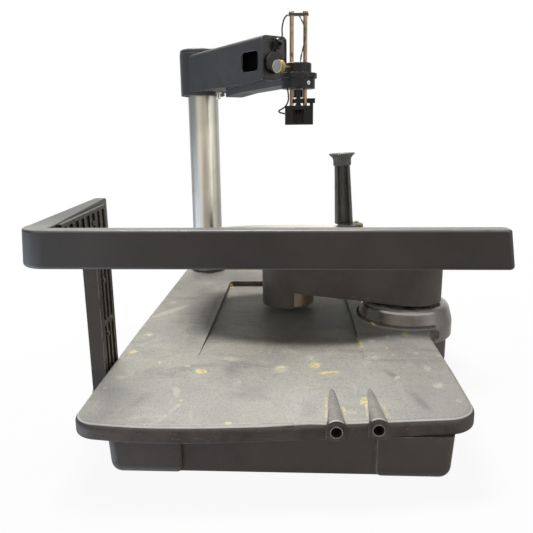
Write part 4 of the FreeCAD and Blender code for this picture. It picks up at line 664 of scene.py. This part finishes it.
def tube_mesh(name, path, radius, mat, sides=12):
    bm = bmesh.new()
    fr = frames(path)
    rings = []
    for i, (p, (t, n, b)) in enumerate(zip(path, fr)):
        r = radius(i / (len(path) - 1)) if callable(radius) else radius
        rings.append([bm.verts.new(p + (n * math.cos(2 * math.pi * k / sides) + b * math.sin(2 * math.pi * k / sides)) * r) for k in range(sides)])
    for a, b in zip(rings, rings[1:]):
        for k in range(sides):
            bm.faces.new((a[k], a[(k + 1) % sides], b[(k + 1) % sides], b[k]))
    bm.faces.new(list(reversed(rings[0])))
    bm.faces.new(rings[-1])
    for f in bm.faces:
        f.smooth = len(f.verts) == 4
    bm.normal_update()
    me = bpy.data.meshes.new(name)
    bm.to_mesh(me)
    bm.free()
    o = bpy.data.objects.new(name, me)
    SC.collection.objects.link(o)
    me.materials.append(mat)
    return o


GLAND_MOUTH, GLAND_DIR = (-5.14, 395.33, 421.81), (0.585, -0.331, 0.740)
GLAND_ROUTE = [(5.7, 358.3, 446.45), (2.0, 359.6, 444.3), (-0.3, 364.0, 439.9), (-1.7, 371.5, 435.4), (-2.5, 380.9, 432.3), (-2.3, 389.0, 429.0),
               tuple(a + b * 4.6 for a, b in zip(GLAND_MOUTH, GLAND_DIR)), GLAND_MOUTH]
PAIR_ROUTE = [(19.3, 354.8, 446.45), (22.9, 351.0, 439.9), (27.0, 349.0, 431.6), (28.4, 348.6, 422.2), (27.6, 348.8, 412.1), (24.9, 349.2, 402.0), (22.7, 350.2, 393.6), (22.1, 350.8, 387.2)]
SENSOR_ROUTE = [(5.2, 346.8, 354.5), (6.6, 345.4, 346.8), (6.6, 344.0, 338.2), (2.8, 343.6, 331.6), (-2.4, 344.6, 328.2), (-6.6, 347.2, 326.5), (-5.9, 351.0, 324.6), (-2.2, 353.0, 323.4), (1.55, 353.6, 322.7)]


def length_of(path):
    return sum((b - a).length for a, b in zip(path, path[1:]))


path = spline_points("gland", GLAND_ROUTE)
o = tube_mesh("crossbar_to_gland_lead", path, 0.001, MAT["lead"])
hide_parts("gland_lead")
tuple(path[-1])
length_of(path)
[tuple(p) for p in reversed(path)]
tuple(path[0])
tuple(path[-1])
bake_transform(o)

path = spline_points("sensor", SENSOR_ROUTE)
o = tube_mesh("ring_to_sensor_lead", path, 0.001, MAT["lead"])
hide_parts("sensor_lead")
tuple(path[0])
length_of(path)
[tuple(p) for p in path]
tuple(path[0])
tuple(path[-1])
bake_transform(o)

core = spline_points("pair", PAIR_ROUTE)
fr = frames(core)
for name, mat, slot, ph in (("signal_wire_green", "lead_green", "lead_green", 0.4), ("signal_wire_black", "lead", "lead_black", 0.4 + math.pi)):
    run, pts = 0.0, []
    for i, (p, (t, n, b)) in enumerate(zip(core, fr)):
        if i:
            run += (core[i] - core[i - 1]).length
        a = ph + run / 0.022 * 2 * math.pi
        pts.append(p + (n * math.cos(a) + b * math.sin(a)) * 0.00056)
    o = tube_mesh(name, pts, 0.00052, MAT[mat], 10)
    if name.endswith("green"):
        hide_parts("signal_pair")
    length_of(pts)
    tuple(core[0])
    tuple(core[-1])
    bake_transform(o)
